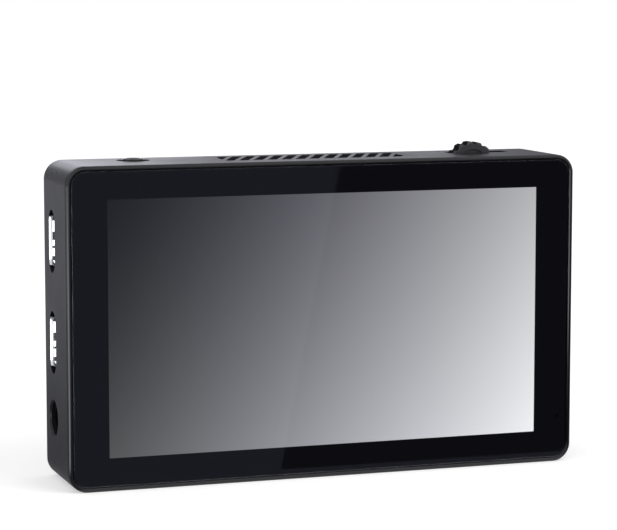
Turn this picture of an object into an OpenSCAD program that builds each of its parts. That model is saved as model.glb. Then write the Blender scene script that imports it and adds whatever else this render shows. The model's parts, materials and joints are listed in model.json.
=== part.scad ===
// Camera field monitor: a six inch screen in a flat housing, with two video
// sockets, a power socket, a headphone socket, a menu wheel and a battery bay.
// The front faces -Y, the back +Y, and the monitor stands on its bottom edge at z = 0.
// A "depth" is always counted from the front plane towards the back.

/* [Picture and body] */
// Width of the visible picture
picture_w = 132.5; // [120:0.5:160]
// Height of the visible picture
picture_h = 74.5; // [68:0.5:90]
// Body beside the picture, on each side
side_border = 12; // [11:0.1:16]
// Body above and below the picture
edge_border = 9.6; // [8.6:0.1:14]
// Depth of the body, from the rim to the back face
body_d = 30; // [27:0.5:36]
// Radius of the four long corners
corner_r = 5.5; // [4.5:0.5:6.5]
// Wall of the rear housing
wall = 2; // [1.6:0.1:2.2]
// Thickness of the back wall
back_wall = 2.2; // [1.6:0.1:3]
// Rounding of the edge round the back face
back_edge = 1.4; // [0.6:0.2:2.4]

/* [Front frame] */
// Width of the rim round the glass
rim_w = 1.4; // [1.2:0.1:1.8]
// Rounding of the outer edge of the rim
rim_round = 0.8; // [0.3:0.1:0.9]
// Bevel on the inner edge of the rim
rim_bevel = 0.25; // [0.1:0.05:0.35]
// Depth of the rim before the shadow groove
rim_d = 1.2; // [1:0.1:1.8]
// Width of the shadow groove between frame and housing
groove_w = 0.4; // [0.2:0.1:0.8]
// Depth of that groove
groove_in = 0.55; // [0.3:0.05:0.9]
// Thickness of the ledge that carries the glass
ledge_t = 1.2; // [0.8:0.1:1.8]
// Wall of the skirt that plugs into the housing
skirt_t = 1.4; // [1:0.1:1.6]

/* [Glass and display] */
// Thickness of the cover glass
glass_t = 0.7; // [0.5:0.05:0.9]
// How far the glass lies below the rim
glass_recess = 0.15; // [0:0.05:0.4]
// Dead border of the panel beside the picture
panel_side = 3.2; // [2:0.1:3.6]
// Dead border of the panel above and below the picture
panel_edge = 3.2; // [2:0.1:3.4]
// Thickness of the panel
panel_t = 1.3; // [0.9:0.1:2]
// Thickness of the diffuser sheet
diffuser_t = 0.3; // [0.2:0.1:0.6]
// Thickness of the light guide
guide_t = 1.5; // [1:0.1:2.5]
// Sheet of the backlight tray
tray_t = 0.35; // [0.25:0.05:0.5]
// Thickness of the foam pads behind the tray
pad_t = 0.4; // [0.3:0.1:1]
// Thickness of the chassis plate
plate_t = 1; // [0.8:0.1:1.5]
// Diameter of the light sensor window in the border
sensor_d = 1.2; // [0.8:0.1:2]
// Height of the light sensor above the bottom
sensor_z = 14; // [10:0.5:30]
// Width of the display ribbon
ribbon_w = 24; // [16:1:30]
// Distance of the ribbon from the middle
ribbon_x = 30; // [20:1:40]

/* [Sockets] */
// Distance from the back face to the line of the sockets and the wheel
ports_from_back = 10.8; // [10:0.1:12]
// Distance of the upper video socket from the top
video_from_top = 22.9; // [20:0.1:26]
// How far the lower video socket lies under the middle
video_under_middle = 5.65; // [3:0.05:8]
// Mouth of a video socket, long way
video_w = 14; // [13.6:0.1:14.4]
// Mouth of a video socket, short way
video_h = 4.55; // [4.4:0.05:4.8]
// Sheet of a video socket's shell
video_sheet = 0.35; // [0.25:0.05:0.5]
// Length of a video socket
video_l = 11.4; // [10:0.1:13]
// Cut-out round a video socket, long way
video_cut_w = 18.4; // [17.5:0.1:20]
// Cut-out round a video socket, short way
video_cut_h = 7.6; // [7:0.1:8.2]
// How far the video sockets lie behind the side face
video_recess = 0.9; // [0.4:0.1:1.4]
// Height of the power socket
power_z = 18.9; // [18:0.1:22]
// Hole in the housing for the power plug
power_hole_d = 10.1; // [9.6:0.1:11]
// Bore of the power socket
power_bore_d = 6.3; // [5.6:0.1:6.6]
// Centre pin of the power socket
power_pin_d = 2.1; // [1.6:0.1:2.5]
// Width and height of the power socket's box
power_box = 9.4; // [8.6:0.1:10]
// Length of the power socket's box
power_box_l = 13; // [12:0.5:14]
// Distance of the headphone socket from the left side
phone_from_left = 24.5; // [22:0.5:30]
// Recess in the housing round the headphone socket
phone_recess_d = 9.1; // [8.2:0.1:10]
// Diameter of the collar in that recess
phone_collar_d = 6.4; // [5.6:0.1:7]
// How far the collar stands above the top face
phone_collar_rise = 0.6; // [0:0.1:0.8]
// Width of the headphone socket's body
phone_body_w = 7.4; // [7:0.1:8]
// Bore of the headphone socket
phone_bore_d = 3.6; // [3.55:0.05:3.8]
// Length of the headphone bore
phone_bore_l = 14; // [12:0.5:15]
// Bevel on the round holes
hole_bevel = 0.5; // [0.2:0.1:0.8]

/* [Vents] */
// Width of the top grille
grille_w = 60; // [50:1:64]
// Front edge of the top grille, as a depth
grille_front = 6.6; // [6.2:0.1:7.4]
// Distance of the grille's back edge from the back face
grille_from_back = 2; // [1.6:0.1:4]
// Thickness of the grille plate
grille_t = 1.2; // [0.8:0.1:1.4]
// Distance between slots
slot_pitch = 4.36; // [4:0.02:6]
// Bar between two slots
slot_bar = 1.4; // [1.1:0.1:2]
// Lean of the slots
slot_lean = 25; // [0:1:40]
// Plain margin at both ends of the slots
slots_end = 1.8; // [1.7:0.1:4]
// Plain margin in front of the slots
slots_margin_front = 2.4; // [1.8:0.1:4]
// Plain margin behind the slots
slots_margin_back = 3.6; // [1.8:0.1:5]
// Width of each vent field in the back
back_field_w = 34; // [20:1:38]
// Height of each vent field in the back
back_field_h = 30; // [20:1:44]

/* [Menu wheel] */
// Distance of the wheel from the right side
wheel_from_right = 26; // [24:0.5:30]
// Radius of the wheel
wheel_r = 7.6; // [7:0.1:8]
// Thickness of the wheel
wheel_t = 5; // [4:0.1:5.4]
// How far the wheel stands above the top face
wheel_rise = 3.3; // [2.6:0.1:4]
// Number of grip notches
wheel_notches = 15; // [10:1:20]
// Depth of a grip notch
notch_in = 0.75; // [0.4:0.05:1]
// Travel of the wheel when it is pressed
press_travel = 0.5; // [0.3:0.1:0.8]
// Diameter of the wheel's axle
axle_d = 2; // [1.6:0.1:2.4]
// Extra length of the wheel opening, on the right
well_tail = 4; // [1:0.5:6]
// Diameter of the status light window
light_d = 1.2; // [1:0.1:1.6]
// How far the status light lies behind the line of the sockets
light_back = 4.9; // [4.6:0.1:5.4]

/* [Battery bay] */
// Width of the bay
bay_w = 43; // [40:0.5:48]
// Height of the bay
bay_h = 80; // [76:0.5:81]
// Depth of the bay
bay_depth = 7.4; // [7:0.1:7.6]
// Wall round and under the bay
bay_wall = 1.8; // [1.4:0.1:2]
// Thickness of the battery plate
holder_t = 2; // [1.6:0.1:2.4]
// How far the hooks stand above the battery plate
hook_rise = 3.8; // [3:0.1:4]
// Length of a hook
hook_l = 9; // [6:0.5:12]
// Distance between the hooks on one side
hook_gap = 34; // [26:1:40]
// Travel of the release catch
catch_travel = 2; // [1.4:0.1:2]
// Width of the release catch
catch_w = 12; // [9:0.5:14]
// Height of the release catch
catch_h = 6; // [5:0.5:6.5]

/* [Threaded inserts] */
// Diameter of an insert
insert_d = 10; // [9:0.5:11]
// Length of an insert
insert_l = 8.5; // [7:0.5:9]
// Bore of an insert, at the crests of a quarter inch thread
insert_bore_d = 5.2; // [5:0.05:5.6]
// Length of that bore
insert_bore_l = 7.5; // [6:0.5:8]

/* [Boards] */
// Thickness of the main board
board_t = 1.6; // [1.2:0.1:2]
// Width of the main chip
chip_w = 16; // [12:0.5:18]
// Thickness of the main chip
chip_t = 1.2; // [0.8:0.1:1.4]
// Thickness of the thermal pad
thermal_t = 0.5; // [0.3:0.1:1]
// Width of the heat sink
sink_w = 56; // [40:1:60]
// Height of the heat sink
sink_h = 34; // [24:1:38]
// Thickness of the heat sink's base
sink_base = 1.8; // [1:0.1:2.4]
// Thickness of a heat sink fin
fin_t = 1; // [0.8:0.1:1.4]
// Number of fins
fins = 13; // [8:1:16]
// Width of a power coil
coil_w = 6.5; // [5:0.5:7]
// Height of a power coil
coil_t = 3.2; // [2:0.1:4]
// Diameter of a capacitor
capacitor_d = 6.2; // [5:0.1:7]
// Height of a capacitor
capacitor_l = 5.2; // [4:0.1:5.3]

/* [Hidden] */

$fn = 64;
eps = 0.01;
fit = 0.15;        // clearance of a piece that drops into a pocket
slide_gap = 0.3;   // clearance between a moving piece and its guide
pin_gap = 0.05;    // clearance of a round pin in its hole

body_w = picture_w + 2 * side_border;
body_h = picture_h + 2 * edge_border;
front_y = -body_d / 2;
mid_z = body_h / 2;
side_x = body_w / 2;
port_depth = body_d - ports_from_back;

// Front stack, as depths
glass_w = body_w - 2 * rim_w;
glass_h = body_h - 2 * rim_w;
glass_r = corner_r - rim_w;
mask_t = 0.1;
tape_t = 0.15;
mask_front = glass_recess + glass_t;
panel_front = mask_front + mask_t;
ledge_front = panel_front + tape_t;
ledge_back = ledge_front + ledge_t;
housing_front = rim_d + groove_w;
panel_w = picture_w + 2 * panel_side;
panel_h = picture_h + 2 * panel_edge;
ribbon_edge = 2;
tray_gap = 0.25;
tray_front = panel_front + panel_t;
guide_front = tray_front + diffuser_t;
tray_back = guide_front + guide_t + tray_t;
plate_front = tray_back + pad_t;
plate_back = plate_front + plate_t;
tray_z0 = mid_z - panel_h / 2 + ribbon_edge;
tray_h = panel_h - ribbon_edge;
led_h = 1.8;

// Where frame, chassis and housing are screwed together
post_r = 2.7;
post_gap = 0.25;
post_in = max(wall + post_r + post_gap, corner_r - (corner_r - wall - post_r - post_gap) / sqrt(2));
boss_r = 3.6;
post_back = ledge_back + 6.25;
head_seat = post_back + 3;
post_screw_l = 8;
skirt_in = wall + fit;
pillar_r = 2.2;
pillar_in = skirt_in + skirt_t + pillar_r - 0.6;
pillar_dz = 25;
opening_gap = 0.3;

// Main board
board_rear = port_depth - video_h / 2 - video_sheet;
board_front = board_rear - board_t;
board_left = -side_x + wall + 1;
board_right = side_x - wall - insert_l - 2;
board_z0 = wall + insert_l + 0.9;
board_z1 = body_h - wall - 7.7;
video_upper_z = body_h - video_from_top;
video_lower_z = mid_z - video_under_middle;
video_half = video_w / 2 + video_sheet;
standoff_r = 2.5;
screw_r = 1.2;
small_r = 0.9;     // shank of the small screws
head_r = 1.9;      // their head
stand_left = -side_x + 20.5;
stand_right = side_x - 21.3;
stands = [[stand_left, power_z + 12.1], [stand_left, (video_upper_z + video_lower_z) / 2],
    [stand_right, board_z0 + 8.6], [stand_right, mid_z + 10.15]];

// Menu wheel
wheel_x = side_x - wheel_from_right;
wheel_z = body_h + wheel_rise - wheel_r;
arm_t = 1.2;
arm_half = 3;
yoke_front = port_depth - wheel_t / 2 - slide_gap - arm_t;
yoke_back = port_depth + wheel_t / 2 + slide_gap + arm_t;
yoke_top = wheel_z + axle_d / 2 + 0.5;
yoke_under = wheel_z - wheel_r - 0.4;
yoke_base_t = 1.4;
yoke_foot = yoke_under - yoke_base_t;
guide_dx = wheel_r + 1.2;
guide_r = 0.8;
shelf_t = 1.2;
bracket_t = 1.2;
wheel_board_t = 1;
switch_h = 2.2;
switch_top = yoke_foot - press_travel - 0.3;
wheel_board_z = switch_top - switch_h;
shelf_z = wheel_board_z - wheel_board_t;
shelf_x0 = wheel_x - guide_dx - 4.4;
shelf_x1 = wheel_x + guide_dx + 4.2;
shelf_back = body_d - back_wall - 2.2;
encoder_d = 2.6;
axle_front = yoke_front - 0.3;
axle_back = yoke_back + encoder_d - 0.4;
light_x = wheel_x - guide_dx + 0.4;
light_depth = port_depth + light_back;

// Battery bay, as depths
bay_floor = body_d - bay_depth;
bay_under = bay_floor - bay_wall;
holder_back = bay_floor + holder_t;
bay_z0 = mid_z - bay_h / 2;
bay_z1 = mid_z + bay_h / 2;
bay_r = 3;
catch_z = bay_z1 - 5.3;
flange_t = 1.2;
flange_w = 1.3;
catch_clear = flange_w + slide_gap;
well_floor = board_rear + 0.45 + 1.2;
block_w = 18;
block_h = 5;
block_rise = 3.2;
block_z0 = max(bay_z0 + 1.4, board_z0 - 3.15);
contact_z = block_z0 + block_h - 0.9;
contact_dx = 5.2;
contact_r = 0.4;
holder_in = 0.3;

// Threaded inserts, behind the chassis plate
insert_boss_r = insert_d / 2 + 2;
insert_y = front_y + max(body_d / 2, plate_back + 0.3 + insert_boss_r);

shell_col = [0.17, 0.17, 0.18];
frame_col = [0.1, 0.1, 0.11];
metal_col = [0.78, 0.78, 0.8];
gold_col = [0.85, 0.68, 0.3];
board_col = [0.05, 0.28, 0.16];

// Puts a drawing on the front plane: x is across, y is up, z is the depth
module facing(depth = 0) {
    translate([0, front_y + depth, 0]) rotate([90, 0, 0]) mirror([0, 0, 1]) children();
}

// Puts a drawing on the left side: x runs down, y to the back, z into the body
module left_side(height) {
    translate([-side_x, front_y + port_depth, height]) rotate([0, 90, 0]) children();
}

// Half of a section through an edge that is rounded on its far side
module edge_section(reach, thick, round_r) {
    square([reach - round_r, thick]);
    square([reach, thick - round_r]);
    translate([reach - round_r, thick - round_r]) intersection() {
        circle(round_r);
        square(round_r + eps);
    }
}

module both_sides() {
    children();
    mirror([1, 0, 0]) children();
}

// Slab with round corners and one soft edge on the side of its larger z
module soft_slab(w, h, r, thick, round_r) {
    for (sx = [-1, 1], sy = [-1, 1])
        translate([sx * (w / 2 - r), sy * (h / 2 - r), 0])
            rotate_extrude() edge_section(r, thick, round_r);
    rotate([90, 0, 0]) translate([0, 0, r - h / 2])
        linear_extrude(h - 2 * r) both_sides() edge_section(w / 2, thick, round_r);
    rotate([90, 0, 90]) translate([0, 0, r - w / 2])
        linear_extrude(w - 2 * r) both_sides() edge_section(h / 2, thick, round_r);
}

// Slab that widens evenly from z = 0 to its larger z
module flared_slab(w, h, r, thick, flare) {
    for (sx = [-1, 1], sy = [-1, 1])
        translate([sx * (w / 2 - r), sy * (h / 2 - r), 0])
            cylinder(thick, r, r + flare);
    rotate([90, 0, 0]) translate([0, 0, r - h / 2]) linear_extrude(h - 2 * r)
        polygon([[-w / 2, 0], [w / 2, 0], [w / 2 + flare, thick], [-w / 2 - flare, thick]]);
    rotate([90, 0, 90]) translate([0, 0, r - w / 2]) linear_extrude(w - 2 * r)
        polygon([[-h / 2, 0], [h / 2, 0], [h / 2 + flare, thick], [-h / 2 - flare, thick]]);
}

module round_rect(w, h, r) {
    square([w - 2 * r, h], center = true);
    square([w, h - 2 * r], center = true);
    for (sx = [-1, 1], sy = [-1, 1])
        translate([sx * (w / 2 - r), sy * (h / 2 - r)]) circle(r);
}

module slab(w, h, r, thick) {
    linear_extrude(thick) round_rect(w, h, r);
}

// Body outline moved in by a distance, at half the body's height
module body_slab(inset, thick) {
    translate([0, mid_z, 0])
        slab(body_w - 2 * inset, body_h - 2 * inset, max(corner_r - inset, 0.8), thick);
}

module at_posts() {
    for (sx = [-1, 1], z = [post_in, body_h - post_in])
        translate([sx * (side_x - post_in), z, 0]) children();
}

module at_pillars() {
    both_sides() for (sz = [-1, 1])
        translate([side_x - pillar_in, mid_z + sz * pillar_dz, 0]) children();
}

// Pan head screw, head down at z = 0 and shank along -z
module screw(head_r, head_h, shank_r, length) {
    difference() {
        cylinder(head_h, head_r, head_r - 0.3);
        translate([0, 0, head_h - 0.7]) for (a = [0, 90])
            rotate(a) translate([-head_r * 0.6, -0.25, 0]) cube([head_r * 1.2, 0.5, 1]);
    }
    translate([0, 0, -length]) cylinder(length + eps, shank_r, shank_r);
}

grille_seat = 1.6; // ledge round the window, under the grille's edge
grille_d = body_d - grille_front - grille_from_back;

// Slanted slots that fill a field, cut off by its edges
module slanted_slots(field_w, field_h, pitch, bar, lean) {
    shift = field_h * tan(lean);
    count = floor((field_w + shift) / pitch);
    start = -(count * pitch - bar) / 2;
    intersection() {
        square([field_w, field_h], center = true);
        for (i = [0:count - 1])
            translate([start + i * pitch, 0]) polygon([
                [-shift / 2, -field_h / 2], [pitch - bar - shift / 2, -field_h / 2],
                [pitch - bar + shift / 2, field_h / 2], [shift / 2, field_h / 2]]);
    }
}

// Front frame with its rim, ledge, skirt and screw posts
module front_frame() {
    color(frame_col) facing() difference() {
        union() {
            translate([0, mid_z, rim_d]) mirror([0, 0, 1])
                soft_slab(body_w, body_h, corner_r, rim_d, rim_round);
            translate([0, 0, rim_d - eps]) body_slab(groove_in, groove_w + eps);
            difference() {
                translate([0, 0, housing_front - eps])
                    body_slab(skirt_in, plate_front - housing_front + eps);
                translate([0, 0, ledge_back]) body_slab(skirt_in + skirt_t, plate_front);
            }
            translate([0, 0, ledge_back - eps]) {
                at_posts() cylinder(post_back - ledge_back + eps, r = post_r);
                at_pillars() cylinder(plate_front - ledge_back + eps, r = pillar_r);
            }
        }
        translate([0, mid_z, -1])
            slab(glass_w + 2 * fit, glass_h + 2 * fit, glass_r + fit, ledge_front + 1);
        translate([0, mid_z, rim_bevel]) mirror([0, 0, 1])
            flared_slab(glass_w + 2 * fit, glass_h + 2 * fit, glass_r + fit, rim_bevel + eps, rim_bevel);
        translate([0, mid_z, 0])
            slab(panel_w + 2 * opening_gap, panel_h + 2 * opening_gap, 1, ledge_back + 1);
        translate([0, 0, ledge_back + 0.8]) at_posts() cylinder(post_back, r = screw_r + pin_gap);
        translate([0, 0, ledge_front + 0.3]) at_pillars() cylinder(plate_front, r = small_r + pin_gap);
    }
}

// Cover glass with a soft front edge
module cover_glass() {
    color([0.2, 0.22, 0.24, 0.35]) facing(mask_front) translate([0, mid_z, 0]) mirror([0, 0, 1])
        soft_slab(glass_w, glass_h, glass_r, glass_t, 0.25);
}

// Black mask on the back of the glass, with the picture window and the sensor hole
module border_mask() {
    color([0.02, 0.02, 0.03]) facing(mask_front) difference() {
        translate([0, mid_z, 0]) slab(glass_w - 0.4, glass_h - 0.4, glass_r, mask_t);
        translate([-picture_w / 2, mid_z - picture_h / 2, -1]) cube([picture_w, picture_h, 2]);
        translate([sensor_x(), sensor_z, -1]) cylinder(2, r = sensor_d / 2);
    }
}

function sensor_x() = side_x - (side_x - panel_w / 2) / 2;

// Adhesive tape that holds the glass on the ledge
module glass_tape() {
    color([0.12, 0.12, 0.12]) facing(panel_front) difference() {
        translate([0, mid_z, 0]) slab(glass_w - 1.2, glass_h - 1.2, glass_r, tape_t);
        translate([0, mid_z, -1])
            slab(panel_w + 2 * opening_gap + 0.6, panel_h + 2 * opening_gap + 0.6, 1, 2);
        translate([sensor_x(), sensor_z, -1]) cylinder(2, r = sensor_d / 2 + 0.4);
    }
}

// Light sensor, a small chip behind its window
module light_sensor() {
    color([0.1, 0.1, 0.14]) facing(panel_front) translate([sensor_x(), sensor_z, 0])
        cylinder(tape_t, r = sensor_d / 2 + 0.2);
}

// Liquid crystal panel
module lcd_panel() {
    color([0.45, 0.47, 0.5]) facing(panel_front)
        translate([-panel_w / 2, mid_z - panel_h / 2, 0]) cube([panel_w, panel_h, panel_t]);
}

module tray_block(inset, from, to) {
    facing(from) translate([-panel_w / 2 + inset, tray_z0 + inset, 0])
        cube([panel_w - 2 * inset, tray_h - 2 * inset, to - from]);
}

module diffuser_sheet() {
    color([0.95, 0.95, 0.95]) tray_block(tray_t + tray_gap, tray_front, guide_front);
}

// Light guide, short of the tray at the bottom to leave room for the light strip
module light_guide() {
    color([0.85, 0.9, 0.95]) difference() {
        tray_block(tray_t + tray_gap, guide_front, tray_back - tray_t);
        facing(guide_front - 1) translate([-panel_w / 2, tray_z0, 0])
            cube([panel_w, tray_t + tray_gap + led_h, guide_t + 2]);
    }
}

// Strip of light diodes along the bottom edge of the light guide
module led_strip() {
    inset = tray_t + tray_gap;
    count = 24;
    step = (panel_w - 2 * inset) / count;
    color([0.95, 0.9, 0.6]) facing(guide_front) {
        translate([-panel_w / 2 + inset, tray_z0 + tray_t, 0])
            cube([panel_w - 2 * inset, 0.6, guide_t]);
        for (i = [0:count - 1])
            translate([-panel_w / 2 + inset + (i + 0.2) * step, tray_z0 + tray_t + 0.6 - eps, 0.2])
                cube([step * 0.6, led_h - 0.7, guide_t - 0.4]);
    }
}

// Pressed tray that holds the light guide and its sheets
module backlight_tray() {
    color(metal_col) difference() {
        tray_block(0, tray_front, tray_back);
        tray_block(tray_t, tray_front - 1, tray_back - tray_t);
    }
}

module foam_pads() {
    pad = 12;
    color([0.2, 0.2, 0.2]) facing(tray_back)
        for (sx = [-1, 1], sz = [-1, 1])
            translate([sx * (panel_w / 2 - pad) - pad / 2, mid_z + sz * (tray_h / 2 - pad) - pad / 2, 0])
                cube([pad, pad, pad_t]);
}

// Chassis plate with ears on the frame's pillars and standoffs for the main board
module chassis_plate() {
    plate_w = panel_w - 1;
    ear_half = pillar_r + 1.3;
    ear_out = pillar_in - wall - 0.5;
    ear_in = side_x - pillar_in - plate_w / 2 + 2;
    slot_w = 8;
    slot_step = 14;
    color(metal_col) facing() difference() {
        union() {
            translate([0, mid_z + ribbon_edge / 2, plate_front])
                slab(plate_w, tray_h - 2, 4, plate_t);
            translate([0, 0, plate_front]) at_pillars()
                translate([-ear_in, -ear_half, 0]) cube([ear_in + ear_out, 2 * ear_half, plate_t]);
            for (s = stands) translate([s[0], s[1], plate_back - eps])
                cylinder(board_front - plate_back + eps, r = standoff_r);
        }
        translate([0, 0, plate_front - 1]) at_pillars() cylinder(plate_t + 2, r = 1.2);
        for (s = stands) translate([s[0], s[1], board_front - 6]) cylinder(7, r = screw_r + pin_gap);
        both_sides() for (i = [1:3]) translate([i * slot_step, mid_z, plate_front - 1])
            slab(slot_w, tray_h - 35, 3, plate_t + 2);
    }
}

module plate_screws() {
    color([0.6, 0.6, 0.62]) facing(plate_back) at_pillars() screw(head_r, 1.2, small_r, plate_t + 2);
}

ribbon_z = mid_z - panel_h / 2 + ribbon_edge / 2;
ribbon_socket_t = 1.35;
ribbon_socket_z = max(ribbon_z + 5.5, board_z0 + 0.5);

// Flat ribbon from the panel's lower edge, back and up to its socket on the board
module display_ribbon() {
    bend = 1.5;
    thick = 0.2;
    back = board_front - ribbon_socket_t - 0.25;
    bend_z = ribbon_z + thick + bend;
    color([0.75, 0.5, 0.2]) translate([-ribbon_x - ribbon_w / 2, 0, 0])
        rotate([90, 0, 90]) linear_extrude(ribbon_w) {
            translate([front_y + tray_front, ribbon_z]) square([back - bend - tray_front, thick]);
            translate([front_y + back - bend, bend_z]) difference() {
                intersection() {
                    circle(bend + thick);
                    translate([0, -bend - thick]) square(bend + thick);
                }
                circle(bend);
            }
            translate([front_y + back, bend_z - eps]) square([thick, ribbon_socket_z + 2 - bend_z]);
        }
}

module ribbon_socket() {
    color([0.9, 0.88, 0.8]) facing(board_front - ribbon_socket_t)
        translate([-ribbon_x - ribbon_w / 2 - 1.5, ribbon_socket_z, 0])
            cube([ribbon_w + 3, 4, ribbon_socket_t]);
}

// Main board, cut away at the power socket and under the wheel
module main_board() {
    power_top = power_z + power_box / 2 + 0.9;
    power_right = -side_x + wall + power_box_l + 3;
    well_left = shelf_x0 - 0.6;
    well_z = shelf_z - 0.6;
    color(board_col) facing(board_front) difference() {
        linear_extrude(board_t) polygon([
            [power_right, board_z0], [board_right, board_z0], [board_right, well_z],
            [well_left, well_z], [well_left, board_z1], [board_left, board_z1],
            [board_left, power_top], [power_right, power_top]]);
        for (s = stands) translate([s[0], s[1], -1]) cylinder(board_t + 2, r = 1.5);
        for (p = sink_holes()) translate([p[0], p[1], -1]) cylinder(board_t + 2, r = 1.3);
        for (p = bracket_holes()) translate([p[0], p[1], -1]) cylinder(board_t + 2, r = small_r + pin_gap);
    }
}

module board_screws() {
    color([0.6, 0.6, 0.62]) facing(board_rear)
        for (s = stands) translate([s[0], s[1], 0]) screw(2.2, 1.4, screw_r, board_t + 5);
}

// Heat sink on the front of the board, its fins upright below the grille
sink_z0 = board_z1 - sink_h - 2;
chip_z = sink_z0 + sink_h / 2;
sink_back = board_front - chip_t - thermal_t;
function sink_holes() = [for (sx = [-1, 1]) [sx * (chip_w / 2 + 10), chip_z]];

module main_chip() {
    color([0.12, 0.12, 0.13]) facing(board_front - chip_t)
        translate([-chip_w / 2, chip_z - chip_w / 2, 0]) cube([chip_w, chip_w, chip_t]);
}

module thermal_pad() {
    pad = chip_w - 2;
    color([0.5, 0.6, 0.7]) facing(board_front - chip_t - thermal_t)
        translate([-pad / 2, chip_z - pad / 2, 0]) cube([pad, pad, thermal_t]);
}

module heat_sink() {
    fin_front = plate_back + 0.8;
    step = (sink_w - fin_t) / (fins - 1);
    color([0.35, 0.36, 0.38]) facing() difference() {
        union() {
            translate([-sink_w / 2, sink_z0, sink_back - sink_base]) cube([sink_w, sink_h, sink_base]);
            for (i = [0:fins - 1]) translate([-sink_w / 2 + i * step, sink_z0, fin_front])
                cube([fin_t, sink_h, sink_back - sink_base - fin_front + eps]);
            for (p = sink_holes()) translate([p[0], p[1], fin_front + 1])
                cylinder(board_front - fin_front - 1, r = 2.6);
        }
        for (p = sink_holes()) translate([p[0], p[1], board_front - 5])
            cylinder(6, r = small_r + pin_gap);
    }
}

// Small screws of the heat sink, from behind, and of the wheel bracket, from the front
module small_screws() {
    color([0.6, 0.6, 0.62]) {
        facing(board_rear) for (p = sink_holes())
            translate([p[0], p[1], 0]) screw(head_r, 1.2, small_r, board_t + 4);
        facing(board_front) for (p = bracket_holes())
            translate([p[0], p[1], 0]) mirror([0, 0, 1])
                screw(head_r, 1.2, small_r, board_t + bracket_t + 0.4);
    }
}

// Coils and capacitors of the power supply, on the front of the board
module power_coils() {
    color([0.22, 0.22, 0.24]) facing(board_front - coil_t) for (i = [0, 1])
        translate([stand_left + 11.5 + i * (coil_w + 3.5), ribbon_socket_z + 7, 0])
            cube([coil_w, coil_w, coil_t]);
}

module capacitors() {
    color([0.75, 0.76, 0.78]) facing(board_front - capacitor_l) for (i = [0:2])
        translate([stand_right - 37 + i * (capacitor_d + 2.8), board_z0 + 7.6, 0])
            cylinder(capacitor_l, r = capacitor_d / 2);
}

// Outline of a video socket: one long side is shorter, with slanted corners
function video_outline(grow) =
    let (w = video_w / 2 + grow, h = video_h / 2 + grow, slant = 1.4, rise = 1.95)
    [[-w, h], [w, h], [w, -h + rise], [w - slant, -h], [-w + slant, -h], [-w, -h + rise]];

module video_shell() {
    translate([0, 0, video_recess]) difference() {
        linear_extrude(video_l) polygon(video_outline(video_sheet));
        translate([0, 0, -1]) linear_extrude(video_l + 2) polygon(video_outline(0));
    }
}

tongue_w = 12;
tongue_t = 1.4;
tongue_y = 0.35;
tongue_tip = 0.8;

// Insulator with the tongue that carries the contacts
module video_core() {
    back = video_recess + video_l;
    translate([0, 0, back - 3]) linear_extrude(3) polygon(video_outline(-0.1));
    translate([-tongue_w / 2, tongue_y - tongue_t / 2, video_recess + tongue_tip])
        cube([tongue_w, tongue_t, video_l - tongue_tip - 3 + eps]);
}

// Contacts of one video socket, ten on one side of the tongue and nine on the other
module contact_rows() {
    contact_w = 0.45;
    contact_t = 0.12;
    length = 6;
    rows = [[10, 1], [9, -1]];
    for (row = rows, i = [0:row[0] - 1])
        translate([(i - (row[0] - 1) / 2) * 1 - contact_w / 2,
                tongue_y + (row[1] > 0 ? tongue_t / 2 : -tongue_t / 2 - contact_t),
                video_recess + tongue_tip + 0.4])
            cube([contact_w, contact_t, length]);
}

module video_shell_upper() { color(metal_col) left_side(video_upper_z) video_shell(); }
module video_shell_lower() { color(metal_col) left_side(video_lower_z) video_shell(); }
module video_core_upper() { color([0.08, 0.08, 0.08]) left_side(video_upper_z) video_core(); }
module video_core_lower() { color([0.08, 0.08, 0.08]) left_side(video_lower_z) video_core(); }

module video_contacts() {
    color(gold_col) for (z = [video_upper_z, video_lower_z]) left_side(z) contact_rows();
}

power_nose_r = power_hole_d / 2 - 0.4;
power_face = 1.2;
power_bore_l = 9.5;
power_pin_in = 1;

// Power socket: round nose in the housing's hole and a box behind it
module power_socket() {
    color([0.1, 0.1, 0.1]) left_side(power_z) difference() {
        union() {
            translate([0, 0, power_face]) cylinder(wall - power_face + 0.5, r = power_nose_r);
            translate([-power_box / 2, -power_box / 2, wall + fit])
                cube([power_box, power_box, power_box_l]);
        }
        translate([0, 0, power_face - 1]) cylinder(power_bore_l + 1, r = power_bore_d / 2);
    }
}

module power_pin() {
    color(gold_col) left_side(power_z) {
        translate([0, 0, power_face + power_pin_in + power_pin_d / 2])
            cylinder(power_bore_l - power_pin_in - power_pin_d / 2, r = power_pin_d / 2);
        translate([0, 0, power_face + power_pin_in + power_pin_d / 2]) sphere(power_pin_d / 2);
    }
}

// Headphone socket under the top wall, with its collar in the recess
phone_x = -side_x + phone_from_left;
phone_collar_r = phone_collar_d / 2;
phone_collar_top = body_h + phone_collar_rise;
phone_body_top = body_h - wall - fit;
phone_collar_in = 1.2;
phone_bore_z0 = phone_collar_top - phone_bore_l;

module headphone_socket() {
    back = port_depth + phone_body_w / 2;
    z0 = phone_bore_z0 - 1;
    color([0.1, 0.1, 0.1]) difference() {
        facing(board_rear) translate([phone_x - phone_body_w / 2, z0, 0])
            cube([phone_body_w, phone_body_top - z0, back - board_rear]);
        translate([phone_x, front_y + port_depth, phone_bore_z0])
            cylinder(phone_bore_l + 1, r = phone_bore_d / 2);
        translate([phone_x, front_y + port_depth, phone_body_top - phone_collar_in])
            cylinder(phone_collar_in + 1, r = phone_collar_r);
    }
}

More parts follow.
